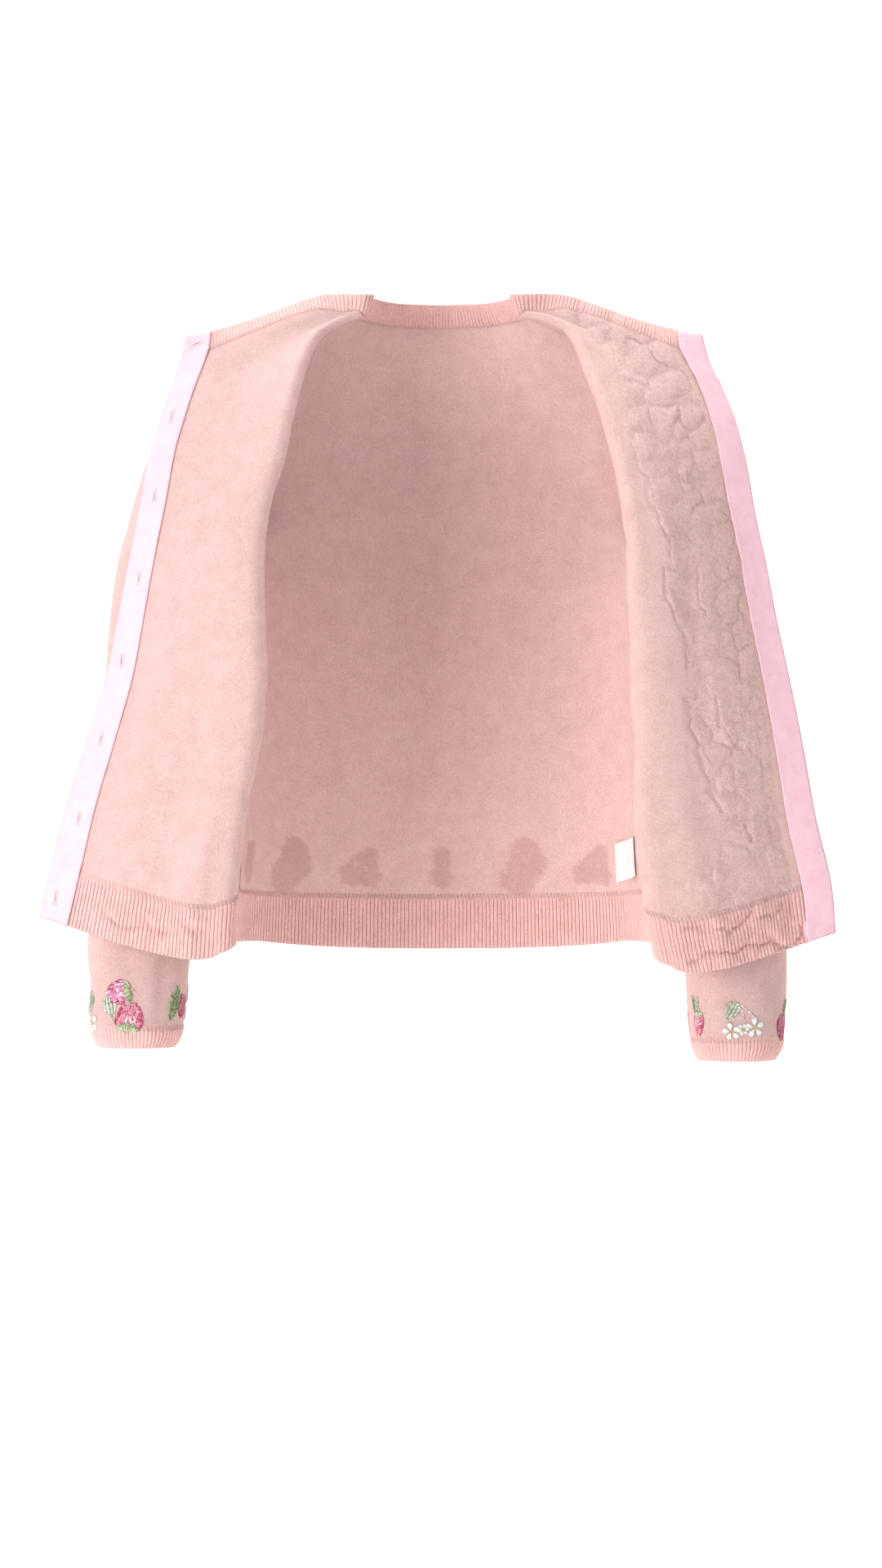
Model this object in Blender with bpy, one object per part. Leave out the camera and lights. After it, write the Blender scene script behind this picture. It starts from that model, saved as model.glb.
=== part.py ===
"""A cardigan in its worn shape, with both fronts turned back over the sleeves.

It is made as it is knitted and sewn: a back, two fronts, two sleeves, a ribbed neckband, hem band
and cuffs, a ribbon facing down each front edge, a label in the side seam and eight buttons.
"""

import math
from bisect import bisect_right
from collections import namedtuple
from functools import lru_cache

import bmesh
import bpy
from mathutils import Vector

for obj in list(bpy.data.objects):
    bpy.data.objects.remove(obj)

# Sizes in metres. The origin is the middle of the neck at the height of the shoulders, where the
# wearer carries the garment. +X is the wearer's left, -Y the wearer's front and +Z up.
KNIT = 0.0020
RIB_KNIT = 0.0022
RIB_RELIEF = 0.0004
RIB_PITCH = 0.0037
NECK_RIB_PITCH = 0.0035

# Gaps at the seams: from the middle of the side and shoulder seams to each panel, and from the
# panels to the neckband. The shoulder seam falls a little faster than a straight line.
SIDE_GAP = 0.0002
RIDGE_GAP = 0.0009
RIDGE_DIP = 0.85
BACK_NECK_GAP = 0.0015
NECK_GAP = 0.0008

# Lines across the body, as parts of its length from the neckline down. The neckband stands above
# the neckline, and the turned-back fronts sag a little at the hem.
NECK_EDGE = -0.04
UNDERARM = 0.40
HEM_SEAM = 1.0
HEM_START = 1.0008
HEM_EDGE = 1.09
HEM_SAG = 0.008
HEM_SAG_START = 0.6

RIBBON_WIDTH = 0.025
RIBBON = 0.0010
RIBBON_INSET = 0.0012
RIBBON_LIFT_BODY = 0.0020
RIBBON_LIFT_BAND = 0.0023
NORMAL_STEP = 0.002

BUTTON_RADIUS = 0.0050
BUTTON_THICKNESS = 0.0026
BUTTON_SIDES = 14
BUTTON_LIFT_BODY = 0.0030
BUTTON_LIFT_HEM = 0.0031
BUTTON_LIFT_NECK = 0.0037

LABEL = 0.0008
LABEL_LIFT = 0.0017
LABEL_COLUMNS = (-4, -3, -2)
LABEL_START = 0.45
LABEL_END = 0.80
LABEL_DOWN = (0.02, 0.78)

# The armhole is an upright oval. Its top is the shoulder point and its foot the underarm.
SHOULDER_OUT = 0.180
SHOULDER_UP = -0.041
UNDERARM_OUT = 0.168
UNDERARM_UP = -0.205
ARMHOLE_DEPTH = 0.050

# One row for each crosswise line of a front, from the neckline down. "out" is the distance from the
# garment's middle and "roll" the radius of the fold. "turn" is the angle in degrees at which the line
# leaves the armhole or side seam, from inwards to straight forward, and "tilt" is how far the fold
# faces downwards.
FrontRow = namedtuple(
    "FrontRow", "down fold_out fold_y fold_z roll edge_out edge_y edge_z turn tilt")
FRONT_ROWS = {
    "right": (
        FrontRow(0.00, 0.063, -0.007, -0.003, 0.006, 0.214, -0.020, -0.044, 0, 40),
        FrontRow(0.04, 0.082, -0.013, -0.010, 0.005, 0.219, -0.026, -0.061, 3, 38),
        FrontRow(0.08, 0.098, -0.023, -0.022, 0.006, 0.224, -0.032, -0.077, 6, 32),
        FrontRow(0.13, 0.109, -0.039, -0.046, 0.007, 0.230, -0.039, -0.098, 9, 22),
        FrontRow(0.20, 0.118, -0.058, -0.082, 0.008, 0.238, -0.045, -0.127, 14, 14),
        FrontRow(0.30, 0.129, -0.078, -0.133, 0.009, 0.245, -0.049, -0.168, 40, 8),
        FrontRow(0.40, 0.141, -0.089, -0.183, 0.010, 0.253, -0.051, -0.209, 88, 2),
        FrontRow(0.50, 0.142, -0.092, -0.233, 0.011, 0.261, -0.051, -0.250, 95, 0),
        FrontRow(0.62, 0.140, -0.090, -0.293, 0.012, 0.271, -0.050, -0.299, 97, 0),
        FrontRow(0.75, 0.146, -0.086, -0.358, 0.012, 0.287, -0.049, -0.351, 97, 0),
        FrontRow(0.88, 0.158, -0.082, -0.422, 0.012, 0.303, -0.048, -0.402, 97, 0),
        FrontRow(1.00, 0.164, -0.079, -0.482, 0.012, 0.315, -0.046, -0.451, 97, 0),
        FrontRow(1.09, 0.166, -0.077, -0.520, 0.012, 0.325, -0.045, -0.492, 97, 0),
    ),
    "left": (
        FrontRow(0.00, 0.063, -0.007, -0.003, 0.006, 0.218, -0.020, -0.043, 0, 40),
        FrontRow(0.04, 0.084, -0.013, -0.007, 0.005, 0.225, -0.026, -0.059, 3, 38),
        FrontRow(0.08, 0.101, -0.023, -0.018, 0.006, 0.232, -0.032, -0.075, 6, 32),
        FrontRow(0.13, 0.112, -0.039, -0.043, 0.007, 0.239, -0.039, -0.096, 9, 22),
        FrontRow(0.20, 0.125, -0.058, -0.079, 0.008, 0.246, -0.045, -0.126, 14, 14),
        FrontRow(0.30, 0.138, -0.078, -0.130, 0.009, 0.253, -0.049, -0.168, 40, 8),
        FrontRow(0.40, 0.146, -0.089, -0.182, 0.010, 0.262, -0.051, -0.210, 88, 2),
        FrontRow(0.50, 0.149, -0.092, -0.234, 0.011, 0.270, -0.051, -0.253, 95, 0),
        FrontRow(0.62, 0.151, -0.090, -0.296, 0.012, 0.281, -0.050, -0.303, 97, 0),
        FrontRow(0.75, 0.154, -0.086, -0.363, 0.012, 0.292, -0.049, -0.358, 97, 0),
        FrontRow(0.88, 0.155, -0.082, -0.431, 0.012, 0.302, -0.048, -0.413, 97, 0),
        FrontRow(1.00, 0.163, -0.079, -0.492, 0.012, 0.314, -0.046, -0.463, 97, 0),
        FrontRow(1.09, 0.171, -0.077, -0.530, 0.012, 0.318, -0.045, -0.505, 97, 0),
    ),
}

# The side seam below the underarm, and the middle of the back beside it.
SideRow = namedtuple("SideRow", "down out z back_y back_z back_turn")
SIDE_ROWS = (
    SideRow(0.00, 0.168, -0.041, 0.068, -0.004, 10),
    SideRow(0.20, 0.168, -0.120, 0.096, -0.100, 24),
    SideRow(0.32, 0.168, -0.172, 0.102, -0.158, 50),
    SideRow(0.40, 0.168, -0.205, 0.104, -0.198, 88),
    SideRow(0.62, 0.164, -0.302, 0.099, -0.302, 90),
    SideRow(0.82, 0.163, -0.392, 0.098, -0.397, 90),
    SideRow(1.00, 0.167, -0.474, 0.101, -0.482, 90),
    SideRow(1.09, 0.170, -0.514, 0.102, -0.524, 90),
)

# The turned-out neckline, from the fold (0) to the front edge (1). "rise" is the seam's height above
# a straight line between those two, "wrap" how far it lies back over the shoulder, and the rest
# leads from the seam to the band's free edge.
NeckRow = namedtuple("NeckRow", "along rise wrap free_out free_y free_z")
NECK_ROWS = (
    NeckRow(0.00, 0.000, 0.000, -0.002, 0.005, 0.014),
    NeckRow(0.12, 0.005, 0.002, 0.002, 0.009, 0.015),
    NeckRow(0.24, 0.012, 0.004, 0.003, 0.013, 0.012),
    NeckRow(0.40, 0.013, 0.007, 0.003, 0.015, 0.010),
    NeckRow(0.60, 0.009, 0.007, 0.003, 0.014, 0.011),
    NeckRow(0.80, 0.005, 0.004, 0.000, 0.010, 0.015),
    NeckRow(1.00, 0.000, 0.000, -0.006, 0.004, 0.024),
)
NECK_TURN_LIFT = 0.004
RISE_REACH = 0.12
WRAP_REACH = 0.07

# Half of the neckline behind the neck, from the neck point (0) to the middle of the back (1).
BackNeckRow = namedtuple("BackNeckRow", "along out y z free_out free_y free_z")
BACK_NECK_ROWS = (
    BackNeckRow(0.00, 0.068, 0.001, 0.001, 0.058, 0.006, 0.016),
    BackNeckRow(0.30, 0.066, 0.029, -0.001, 0.057, 0.027, 0.016),
    BackNeckRow(0.65, 0.042, 0.055, -0.003, 0.036, 0.048, 0.014),
    BackNeckRow(1.00, 0.000, 0.068, -0.004, 0.000, 0.060, 0.014),
)
NECK_SHARE = 0.40
BACK_BLEND = 0.26

# One row for each ring of a sleeve. "lap" is how far the ring bulges to the front and to the back.
SleeveRow = namedtuple("SleeveRow", "down outer_out outer_z inner_out inner_z mid_y lap")
SLEEVE_ROWS = (
    SleeveRow(0.00, 0.180, -0.041, 0.168, -0.205, 0.000, 0.050),
    SleeveRow(0.05, 0.203, -0.053, 0.175, -0.213, 0.000, 0.052),
    SleeveRow(0.11, 0.224, -0.082, 0.179, -0.224, 0.001, 0.052),
    SleeveRow(0.18, 0.240, -0.120, 0.181, -0.240, 0.002, 0.050),
    SleeveRow(0.26, 0.254, -0.166, 0.182, -0.263, 0.002, 0.048),
    SleeveRow(0.35, 0.266, -0.214, 0.183, -0.292, 0.001, 0.046),
    SleeveRow(0.45, 0.272, -0.268, 0.185, -0.330, -0.001, 0.044),
    SleeveRow(0.56, 0.276, -0.330, 0.188, -0.372, -0.005, 0.042),
    SleeveRow(0.68, 0.281, -0.400, 0.193, -0.422, -0.010, 0.040),
    SleeveRow(0.80, 0.285, -0.468, 0.200, -0.476, -0.016, 0.038),
    SleeveRow(0.90, 0.287, -0.530, 0.206, -0.533, -0.020, 0.036),
    SleeveRow(1.00, 0.284, -0.588, 0.212, -0.588, -0.024, 0.033),
    SleeveRow(1.05, 0.279, -0.602, 0.216, -0.602, -0.025, 0.029),
)
SLEEVE_SEAM = 1.0
CUFF_START = 1.0014
CUFF_EDGE = 1.05
UNDERARM_ROOM = 0.0014
ARMHOLE_GAP = 0.0008

# The wearer's left arm hangs a little closer to the body than the right.
ARM_SWING = {"right": 0.0, "left": -0.008}
ARM_DROP = {"right": 0.0, "left": -0.008}

# Soft folds of the hanging cloth. Each is a long low swelling: its middle, its height (below zero for
# a trough), its half width across, its half length down and how far it slants across on its way down.
Fold = namedtuple("Fold", "across down height width reach slant")
FRONT_FOLDS = {
    "right": (
        Fold(0.545, 1.00, 0.0040, 0.035, 0.13, 0.15),
        Fold(0.640, 0.95, -0.0035, 0.050, 0.25, 0.10),
        Fold(0.780, 0.72, 0.0030, 0.070, 0.25, 0.08),
    ),
    "left": (
        Fold(0.560, 0.30, 0.0030, 0.045, 0.16, 0.10),
        Fold(0.640, 0.62, -0.0030, 0.055, 0.25, -0.05),
        Fold(0.620, 1.02, 0.0040, 0.050, 0.16, 0.20),
        Fold(0.860, 1.00, -0.0035, 0.055, 0.20, 0.00),
    ),
}
BACK_FOLDS = (
    Fold(-0.62, 0.80, 0.0040, 0.10, 0.30, 0.10),
    Fold(-0.28, 0.88, -0.0035, 0.13, 0.32, 0.04),
    Fold(0.10, 0.90, 0.0035, 0.12, 0.26, -0.05),
    Fold(0.42, 0.82, -0.0040, 0.11, 0.30, -0.08),
    Fold(0.70, 0.90, 0.0030, 0.09, 0.22, -0.06),
)
SLEEVE_FOLDS = {
    "right": (
        Fold(0.36, 0.44, 0.0035, 0.13, 0.035, 0.0),
        Fold(0.40, 0.53, -0.0035, 0.15, 0.030, 0.0),
        Fold(0.37, 0.62, 0.0030, 0.12, 0.035, 0.0),
        Fold(0.62, 0.50, 0.0030, 0.12, 0.040, 0.0),
        Fold(0.20, 0.86, -0.0030, 0.06, 0.110, 0.2),
        Fold(0.85, 0.84, 0.0025, 0.09, 0.060, 0.3),
    ),
    "left": (
        Fold(0.37, 0.46, 0.0035, 0.14, 0.035, 0.0),
        Fold(0.41, 0.55, -0.0030, 0.13, 0.035, 0.0),
        Fold(0.35, 0.65, 0.0030, 0.12, 0.030, 0.0),
        Fold(0.63, 0.53, 0.0030, 0.13, 0.040, 0.0),
        Fold(0.27, 0.85, 0.0028, 0.07, 0.070, 0.6),
        Fold(0.80, 0.88, -0.0025, 0.09, 0.060, 0.2),
    ),
}

SIGN = {"right": -1, "left": 1}


def read(rows, column, at):
    """Read one column of a table as a smooth curve."""
    last = len(rows) - 1
    i = max(0, min(last - 1, bisect_right([row[0] for row in rows], at) - 1))

    def slope(k):
        low = rows[max(0, k - 1)]
        high = rows[min(last, k + 1)]
        return (getattr(high, column) - getattr(low, column)) / (high[0] - low[0])

    start = rows[i]
    end = rows[i + 1]
    width = end[0] - start[0]
    s = (at - start[0]) / width
    return (
        (2 * s ** 3 - 3 * s ** 2 + 1) * getattr(start, column)
        + (s ** 3 - 2 * s ** 2 + s) * width * slope(i)
        + (3 * s ** 2 - 2 * s ** 3) * getattr(end, column)
        + (s ** 3 - s ** 2) * width * slope(i + 1)
    )


def bend(start, leave, end, arrive, s):
    """A point on the curve that leaves start along one vector and arrives at end along another."""
    return (
        start * (2 * s ** 3 - 3 * s ** 2 + 1)
        + leave * (s ** 3 - 2 * s ** 2 + s)
        + end * (3 * s ** 2 - 2 * s ** 3)
        + arrive * (s ** 3 - s ** 2)
    )


def fade(at, reach):
    """One at zero, falling smoothly to nothing at reach."""
    return max(0.0, 1 - at / reach) ** 2


def swell(folds, across, down, tube=False):
    """The height of a piece's soft folds at one place; round a tube, across 0 and 1 are one line."""
    height = 0.0
    for fold in folds:
        along = (down - fold.down) / fold.reach
        beside = across - fold.across - fold.slant * (down - fold.down)
        if tube:
            beside = (beside + 0.5) % 1 - 0.5
        height += fold.height * math.exp(-along ** 2 - (beside / fold.width) ** 2)
    return height


def armhole(side, down, facing):
    """The armhole's edge and then the side seam; facing is -1 on the front and 1 on the back."""
    sign = SIGN[side]
    if down >= UNDERARM:
        return Vector((sign * read(SIDE_ROWS, "out", down), facing * SIDE_GAP,
                       read(SIDE_ROWS, "z", down)))
    angle = math.pi * down / UNDERARM
    top = Vector((sign * SHOULDER_OUT, facing * RIDGE_GAP, SHOULDER_UP))
    foot = Vector((sign * UNDERARM_OUT, facing * SIDE_GAP, UNDERARM_UP))
    middle = (top + foot) / 2
    lap = Vector((0, facing * ARMHOLE_DEPTH * math.sin(angle), 0))
    return middle + (top - foot) / 2 * math.cos(angle) + lap


@lru_cache(maxsize=None)
def front_line(side, down):
    """The sizes of one crosswise line of a front: its ends, its fold and the directions between."""
    rows = FRONT_ROWS[side]
    sign = SIGN[side]
    roll = read(rows, "roll", down)
    tilt = math.radians(read(rows, "tilt", down))
    inward = Vector((-sign * math.cos(tilt), 0, -math.sin(tilt)))
    fold = Vector((sign * read(rows, "fold_out", down), read(rows, "fold_y", down),
                   read(rows, "fold_z", down)))
    seam = armhole(side, down, -1)
    edge = Vector((sign * read(rows, "edge_out", down), read(rows, "edge_y", down),
                   read(rows, "edge_z", down)))
    turn = math.radians(read(rows, "turn", down))
    leave = Vector((-sign * math.cos(turn), -math.sin(turn), 0))
    return seam, leave, fold - inward * roll, inward, roll, edge


# Shares of a crosswise line: up to the roll, round it, and out to the edge. The pulls say how long
# the line keeps its direction, and the flare how far its edge runs backwards.
UNDER_END = 0.34
ROLL_END = 0.46
UNDER_PULL = 0.9
EDGE_FLARE = 0.42
SIDE_PULL = 0.85
MIDDLE_PULL = 1.4


def front_point(side, across, down):
    """A point of a front's middle surface, from its armhole or side seam (0) to its edge (1)."""
    seam, leave, centre, inward, roll, edge = front_line(side, down)
    behind = centre + Vector((0, roll, 0))
    before = centre - Vector((0, roll, 0))
    if across <= UNDER_END:
        s = across / UNDER_END
        span = (behind - seam).length
        point = bend(seam, leave * span, behind, inward * span * UNDER_PULL, s)
        point.z = behind.z + (seam.z - behind.z) * (1 - s) ** RIDGE_DIP
        return point
    if across <= ROLL_END:
        angle = math.pi * (across - UNDER_END) / (ROLL_END - UNDER_END)
        return centre + inward * roll * math.sin(angle) + Vector((0, roll * math.cos(angle), 0))
    s = (across - ROLL_END) / (1 - ROLL_END)
    span = (edge - before).length
    arrive = Vector((SIGN[side], EDGE_FLARE, 0)).normalized()
    point = bend(before, -inward * span, edge, arrive * span, s)
    point.z = before.z + (edge.z - before.z) * s
    point.z += read(NECK_ROWS, "rise", s) * fade(down, RISE_REACH)
    point.y += read(NECK_ROWS, "wrap", s) * fade(down, WRAP_REACH)
    lowness = max(0.0, down - HEM_SAG_START) / (1 - HEM_SAG_START)
    point.z -= HEM_SAG * math.sin(math.pi * math.sqrt(s)) * lowness
    point.y -= swell(FRONT_FOLDS[side], across, down)
    return point


def neckband_step(side, across):
    """The step from the neckline's seam on a front to the band's free edge."""
    sign = SIGN[side]
    along = max(0.0, (across - ROLL_END) / (1 - ROLL_END))
    turned = Vector((sign * read(NECK_ROWS, "free_out", along),
                     read(NECK_ROWS, "free_y", along), read(NECK_ROWS, "free_z", along)))
    seam, free = back_neck(sign)
    standing = max(0.0, (ROLL_END - across) / (ROLL_END - UNDER_END))
    step = turned.lerp(free - seam, standing)
    step.z += NECK_TURN_LIFT * math.sin(math.pi * standing)
    return step


def back_neck(across):
    """The seam and the free edge behind the neck; across runs from -1 to 1."""
    along = 1 - abs(across)
    sign = 1 if across > 0 else -1
    seam = Vector((sign * read(BACK_NECK_ROWS, "out", along), read(BACK_NECK_ROWS, "y", along),
                   read(BACK_NECK_ROWS, "z", along)))
    free = Vector((sign * read(BACK_NECK_ROWS, "free_out", along),
                   read(BACK_NECK_ROWS, "free_y", along),
                   read(BACK_NECK_ROWS, "free_z", along)))
    return seam, free


def back_top(across):
    """The back's upper edge: shoulder seam, neckline, shoulder seam."""
    if abs(across) <= NECK_SHARE:
        return back_neck(across / NECK_SHARE)[0]
    s = (abs(across) - NECK_SHARE) / (1 - NECK_SHARE)
    side = "left" if across > 0 else "right"
    neck = back_neck(SIGN[side])[0]
    tip = armhole(side, 0, 1)
    point = neck.lerp(tip, s)
    point.y = RIDGE_GAP
    point.z = neck.z + (tip.z - neck.z) * s ** RIDGE_DIP
    return point


def back_point(across, down):
    """A point of the back's middle surface, from the right side (-1) to the left (1)."""
    side = "left" if across > 0 else "right"
    inward = Vector((-SIGN[side], 0, 0))
    seam = armhole(side, down, 1)
    middle = Vector((0, read(SIDE_ROWS, "back_y", down), read(SIDE_ROWS, "back_z", down)))
    span = (middle - seam).length
    turn = math.radians(read(SIDE_ROWS, "back_turn", down))
    leave = inward * math.cos(turn) + Vector((0, math.sin(turn), 0))
    point = bend(seam, leave * span * SIDE_PULL, middle, inward * span * MIDDLE_PULL,
                 1 - abs(across))
    point.z = middle.z + (seam.z - middle.z) * across ** 2
    point.y += swell(BACK_FOLDS, across, down) * math.cos(across * math.pi / 2)
    return point.lerp(back_top(across), fade(down, BACK_BLEND))


def sleeve_point(side, around, down):
    """A point of a sleeve's middle surface; around runs from 0 at the outer side, by the front, to 1."""
    sign = SIGN[side]
    swing = ARM_SWING[side] * down
    drop = ARM_DROP[side] * down
    outer = Vector((sign * (read(SLEEVE_ROWS, "outer_out", down) + swing),
                    read(SLEEVE_ROWS, "mid_y", down), read(SLEEVE_ROWS, "outer_z", down) + drop))
    inner = Vector((sign * (read(SLEEVE_ROWS, "inner_out", down) + swing),
                    read(SLEEVE_ROWS, "mid_y", down), read(SLEEVE_ROWS, "inner_z", down) + drop))
    angle = 2 * math.pi * around
    lap = Vector((0, -read(SLEEVE_ROWS, "lap", down) * math.sin(angle), 0))
    spoke = (outer - inner) / 2 * math.cos(angle) + lap
    height = swell(SLEEVE_FOLDS[side], around, down, tube=True)
    point = (outer + inner) / 2 + spoke + spoke.normalized() * height
    if down == 0:
        point.x += sign * (ARMHOLE_GAP + UNDERARM_ROOM * (1 - math.cos(angle)) / 2)
    return point


def material(name, colour, roughness, metallic=0.0):
    """A plain surface in the piece's colour."""
    made = bpy.data.materials.new(name)
    made.use_nodes = True
    shader = made.node_tree.nodes["Principled BSDF"]
    shader.inputs["Base Color"].default_value = (*colour, 1)
    shader.inputs["Roughness"].default_value = roughness
    shader.inputs["Metallic"].default_value = metallic
    return made


def cloth(name, lines, thickness, finish, closed=False):
    """A wall of cloth on a grid of points, a list of lines of equal length."""
    columns = len(lines[0])
    mesh = bmesh.new()
    bmesh.ops.create_grid(mesh, x_segments=columns - 1, y_segments=len(lines) - 1, size=1)
    mesh.verts.ensure_lookup_table()
    for index, vert in enumerate(mesh.verts):
        vert.co = lines[index // columns][index % columns]
    if closed:
        bmesh.ops.remove_doubles(mesh, verts=mesh.verts, dist=1e-6)
    data = bpy.data.meshes.new(name)
    mesh.to_mesh(data)
    mesh.free()
    data.materials.append(finish)
    data.shade_smooth()
    piece = bpy.data.objects.new(name, data)
    bpy.context.collection.objects.link(piece)
    wall = piece.modifiers.new("wall", "SOLIDIFY")
    wall.thickness = thickness
    wall.offset = 0
    return piece


def length(points):
    """The length of a line of points."""
    return sum((b - a).length for a, b in zip(points, points[1:]))


def even(points, others, count):
    """Points at equal steps along one line, and their partners on the line beside it."""
    marks = [0.0]
    for a, b in zip(points, points[1:]):
        marks.append(marks[-1] + (b - a).length)
    result = ([], [])
    for k in range(count + 1):
        mark = marks[-1] * k / count
        i = max(0, min(len(points) - 2, bisect_right(marks, mark) - 1))
        s = (mark - marks[i]) / (marks[i + 1] - marks[i])
        result[0].append(points[i].lerp(points[i + 1], s))
        result[1].append(others[i].lerp(others[i + 1], s))
    return result


def ribbed(upper, lower, pitch, closed=False):
    """A band between two lines, with ribs that stand out on both of its faces."""
    count = 2 * round(length(upper) / pitch)
    upper, lower = even(upper, lower, count)
    ribs = ([], [])
    for i in range(count + 1):
        if closed:
            along = upper[(i + 1) % count] - upper[(i - 1) % count]
        else:
            along = upper[min(count, i + 1)] - upper[max(0, i - 1)]
        normal = along.cross(lower[i] - upper[i]).normalized()
        shift = normal * RIB_RELIEF * (1 if i % 2 else -1)
        ribs[0].append(upper[i] + shift)
        ribs[1].append(lower[i] + shift)
    return ribs


def steps(start, end, count):
    """Evenly spaced numbers from start to end."""
    return [start + (end - start) * k / count for k in range(count + 1)]


def banded_point(side, across, down):
    """A point of a front or, where down is below zero, of the neckband beside it."""
    point = front_point(side, across, max(0.0, down))
    if down < 0:
        point += neckband_step(side, across) * (down / NECK_EDGE)
    return point


def front_surface(side, from_edge, down):
    """A point near a front's edge, by its distance from the edge."""
    edge = front_point(side, 1, max(0.0, down))
    span = (edge - front_point(side, ROLL_END, max(0.0, down))).length
    return banded_point(side, 1 - (1 - ROLL_END) * from_edge / span, down)


def front_normal(side, from_edge, down):
    """The direction that a turned-back front's wrong side faces."""
    here = front_surface(side, from_edge, down)
    sideways = front_surface(side, from_edge + NORMAL_STEP, down) - here
    downwards = front_surface(side, from_edge, down + NORMAL_STEP) - here
    normal = sideways.cross(downwards).normalized()
    return normal if normal.y < 0 else -normal


wool = material("pale pink fine knit", (0.86, 0.55, 0.49), 0.95)
rib = material("pale pink rib knit", (0.84, 0.52, 0.47), 0.95)
ribbon = material("pink grosgrain ribbon", (0.90, 0.62, 0.68), 0.60)
white = material("white woven label", (0.90, 0.88, 0.86), 0.80)
pearl = material("brownish pearl button", (0.55, 0.42, 0.36), 0.35)

# The two fronts and the ribbon facings on their edges
UNDER_COLUMNS = 6
ROLL_COLUMNS = 6
FLAP_COLUMNS = 10
FRONT_ACROSS = (
    steps(0, UNDER_END, UNDER_COLUMNS) + steps(UNDER_END, ROLL_END, ROLL_COLUMNS)[1:]
    + steps(ROLL_END, 1, FLAP_COLUMNS)[1:])
FRONT_DOWN = (0, 0.025, 0.05, 0.08, 0.12, 0.16, 0.2, 0.25, 0.3, 0.35, 0.4, 0.46, 0.53, 0.61, 0.7,
              0.8, 0.9, HEM_SEAM)
RIBBON_DOWN = (NECK_EDGE, -0.02, -0.003) + FRONT_DOWN[1:-1] + (0.98, 1.005, 1.05, HEM_EDGE)
for side in SIGN:
    lines = [[front_point(side, across, down) for across in FRONT_ACROSS] for down in FRONT_DOWN]
    cloth("front_" + side, lines, KNIT, wool)
    lines = []
    for down in RIBBON_DOWN:
        lift = RIBBON_LIFT_BODY if 0 < down < HEM_SEAM - 0.01 else RIBBON_LIFT_BAND
        lines.append([
            front_surface(side, from_edge, down) + front_normal(side, from_edge, down) * lift
            for from_edge in steps(RIBBON_INSET, RIBBON_INSET + RIBBON_WIDTH, 2)])
    cloth("ribbon_" + side, lines, RIBBON, ribbon)

# The back
SHOULDER_COLUMNS = 5
NECK_COLUMNS = 12
BACK_ACROSS = (
    steps(-1, -NECK_SHARE, SHOULDER_COLUMNS) + steps(-NECK_SHARE, NECK_SHARE, NECK_COLUMNS)[1:]
    + steps(NECK_SHARE, 1, SHOULDER_COLUMNS)[1:])
BACK_DOWN = (0, 0.03, 0.06, 0.1, 0.15, 0.2, 0.27, 0.34, 0.4, 0.5, 0.6, 0.7, 0.8, 0.9, HEM_SEAM)
cloth("back", [[back_point(across, down) for across in BACK_ACROSS] for down in BACK_DOWN],
      KNIT, wool)

# The sleeves and their ribbed cuffs
SLEEVE_COLUMNS = 20
CUFF_COLUMNS = 60
SLEEVE_DOWN = (0, 0.04, 0.09, 0.14, 0.2, 0.27, 0.34, 0.41, 0.48, 0.56, 0.64, 0.72, 0.8, 0.88, 0.95,
               SLEEVE_SEAM)
for side in SIGN:
    lines = [[sleeve_point(side, around, down) for around in steps(0, 1, SLEEVE_COLUMNS)]
             for down in SLEEVE_DOWN]
    cloth("sleeve_" + side, lines, KNIT, wool, closed=True)
    upper, lower = (
        [sleeve_point(side, around, down) for around in steps(0, 1, CUFF_COLUMNS)]
        for down in (CUFF_START, CUFF_EDGE))
    cloth("cuff_" + side, ribbed(upper, lower, RIB_PITCH, closed=True), RIB_KNIT, rib, closed=True)

# The neckband, from the right front's edge round the neck to the left front's edge
seam_line = []
free_line = []
for side in SIGN:
    half_seam = []
    half_free = []
    for across in reversed([mark for mark in FRONT_ACROSS if mark >= UNDER_END]):
        seam = front_point(side, across, 0)
        step = neckband_step(side, across)
        gap = NECK_GAP if across > ROLL_END else BACK_NECK_GAP
        half_seam.append(seam + step.normalized() * gap)
        half_free.append(seam + step)
    for k in range(1, NECK_COLUMNS):
        seam, free = back_neck(SIGN[side] * (1 - k / NECK_COLUMNS))
        half_seam.append(seam + (free - seam).normalized() * BACK_NECK_GAP)
        half_free.append(free)
    if side == "right":
        seam_line += half_seam
        free_line += half_free
    else:
        seam_line += half_seam[::-1]
        free_line += half_free[::-1]
cloth("neckband", ribbed(seam_line, free_line, NECK_RIB_PITCH), RIB_KNIT, rib)

# The hem band, from the right front's edge round the back to the left front's edge
hem_lines = []
for down in (HEM_START, HEM_EDGE):
    line = [front_point("right", across, down) for across in reversed(FRONT_ACROSS)]
    line += [back_point(across, down) for across in BACK_ACROSS[1:-1]]
    line += [front_point("left", across, down) for across in FRONT_ACROSS]
    hem_lines.append(line)
cloth("hem_band", ribbed(*hem_lines, RIB_PITCH), RIB_KNIT, rib)

# The label inside the wearer's left side seam, on the back's own facets
low, high = BACK_DOWN[-2:]
lines = []
for s in LABEL_DOWN:
    row = [back_point(BACK_ACROSS[column], low).lerp(back_point(BACK_ACROSS[column], high), s)
           for column in LABEL_COLUMNS]
    start = row[0].lerp(row[1], LABEL_START)
    end = row[1].lerp(row[2], LABEL_END)
    line = []
    for point, sideways in ((start, row[1] - row[0]), (row[1], row[2] - row[0]),
                            (end, row[2] - row[1])):
        inward = Vector((-sideways.y, sideways.x, 0)).normalized()
        line.append(point - inward * LABEL_LIFT if inward.y > 0 else point + inward * LABEL_LIFT)
    lines.append(line)
cloth("label", lines, LABEL, white)

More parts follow.
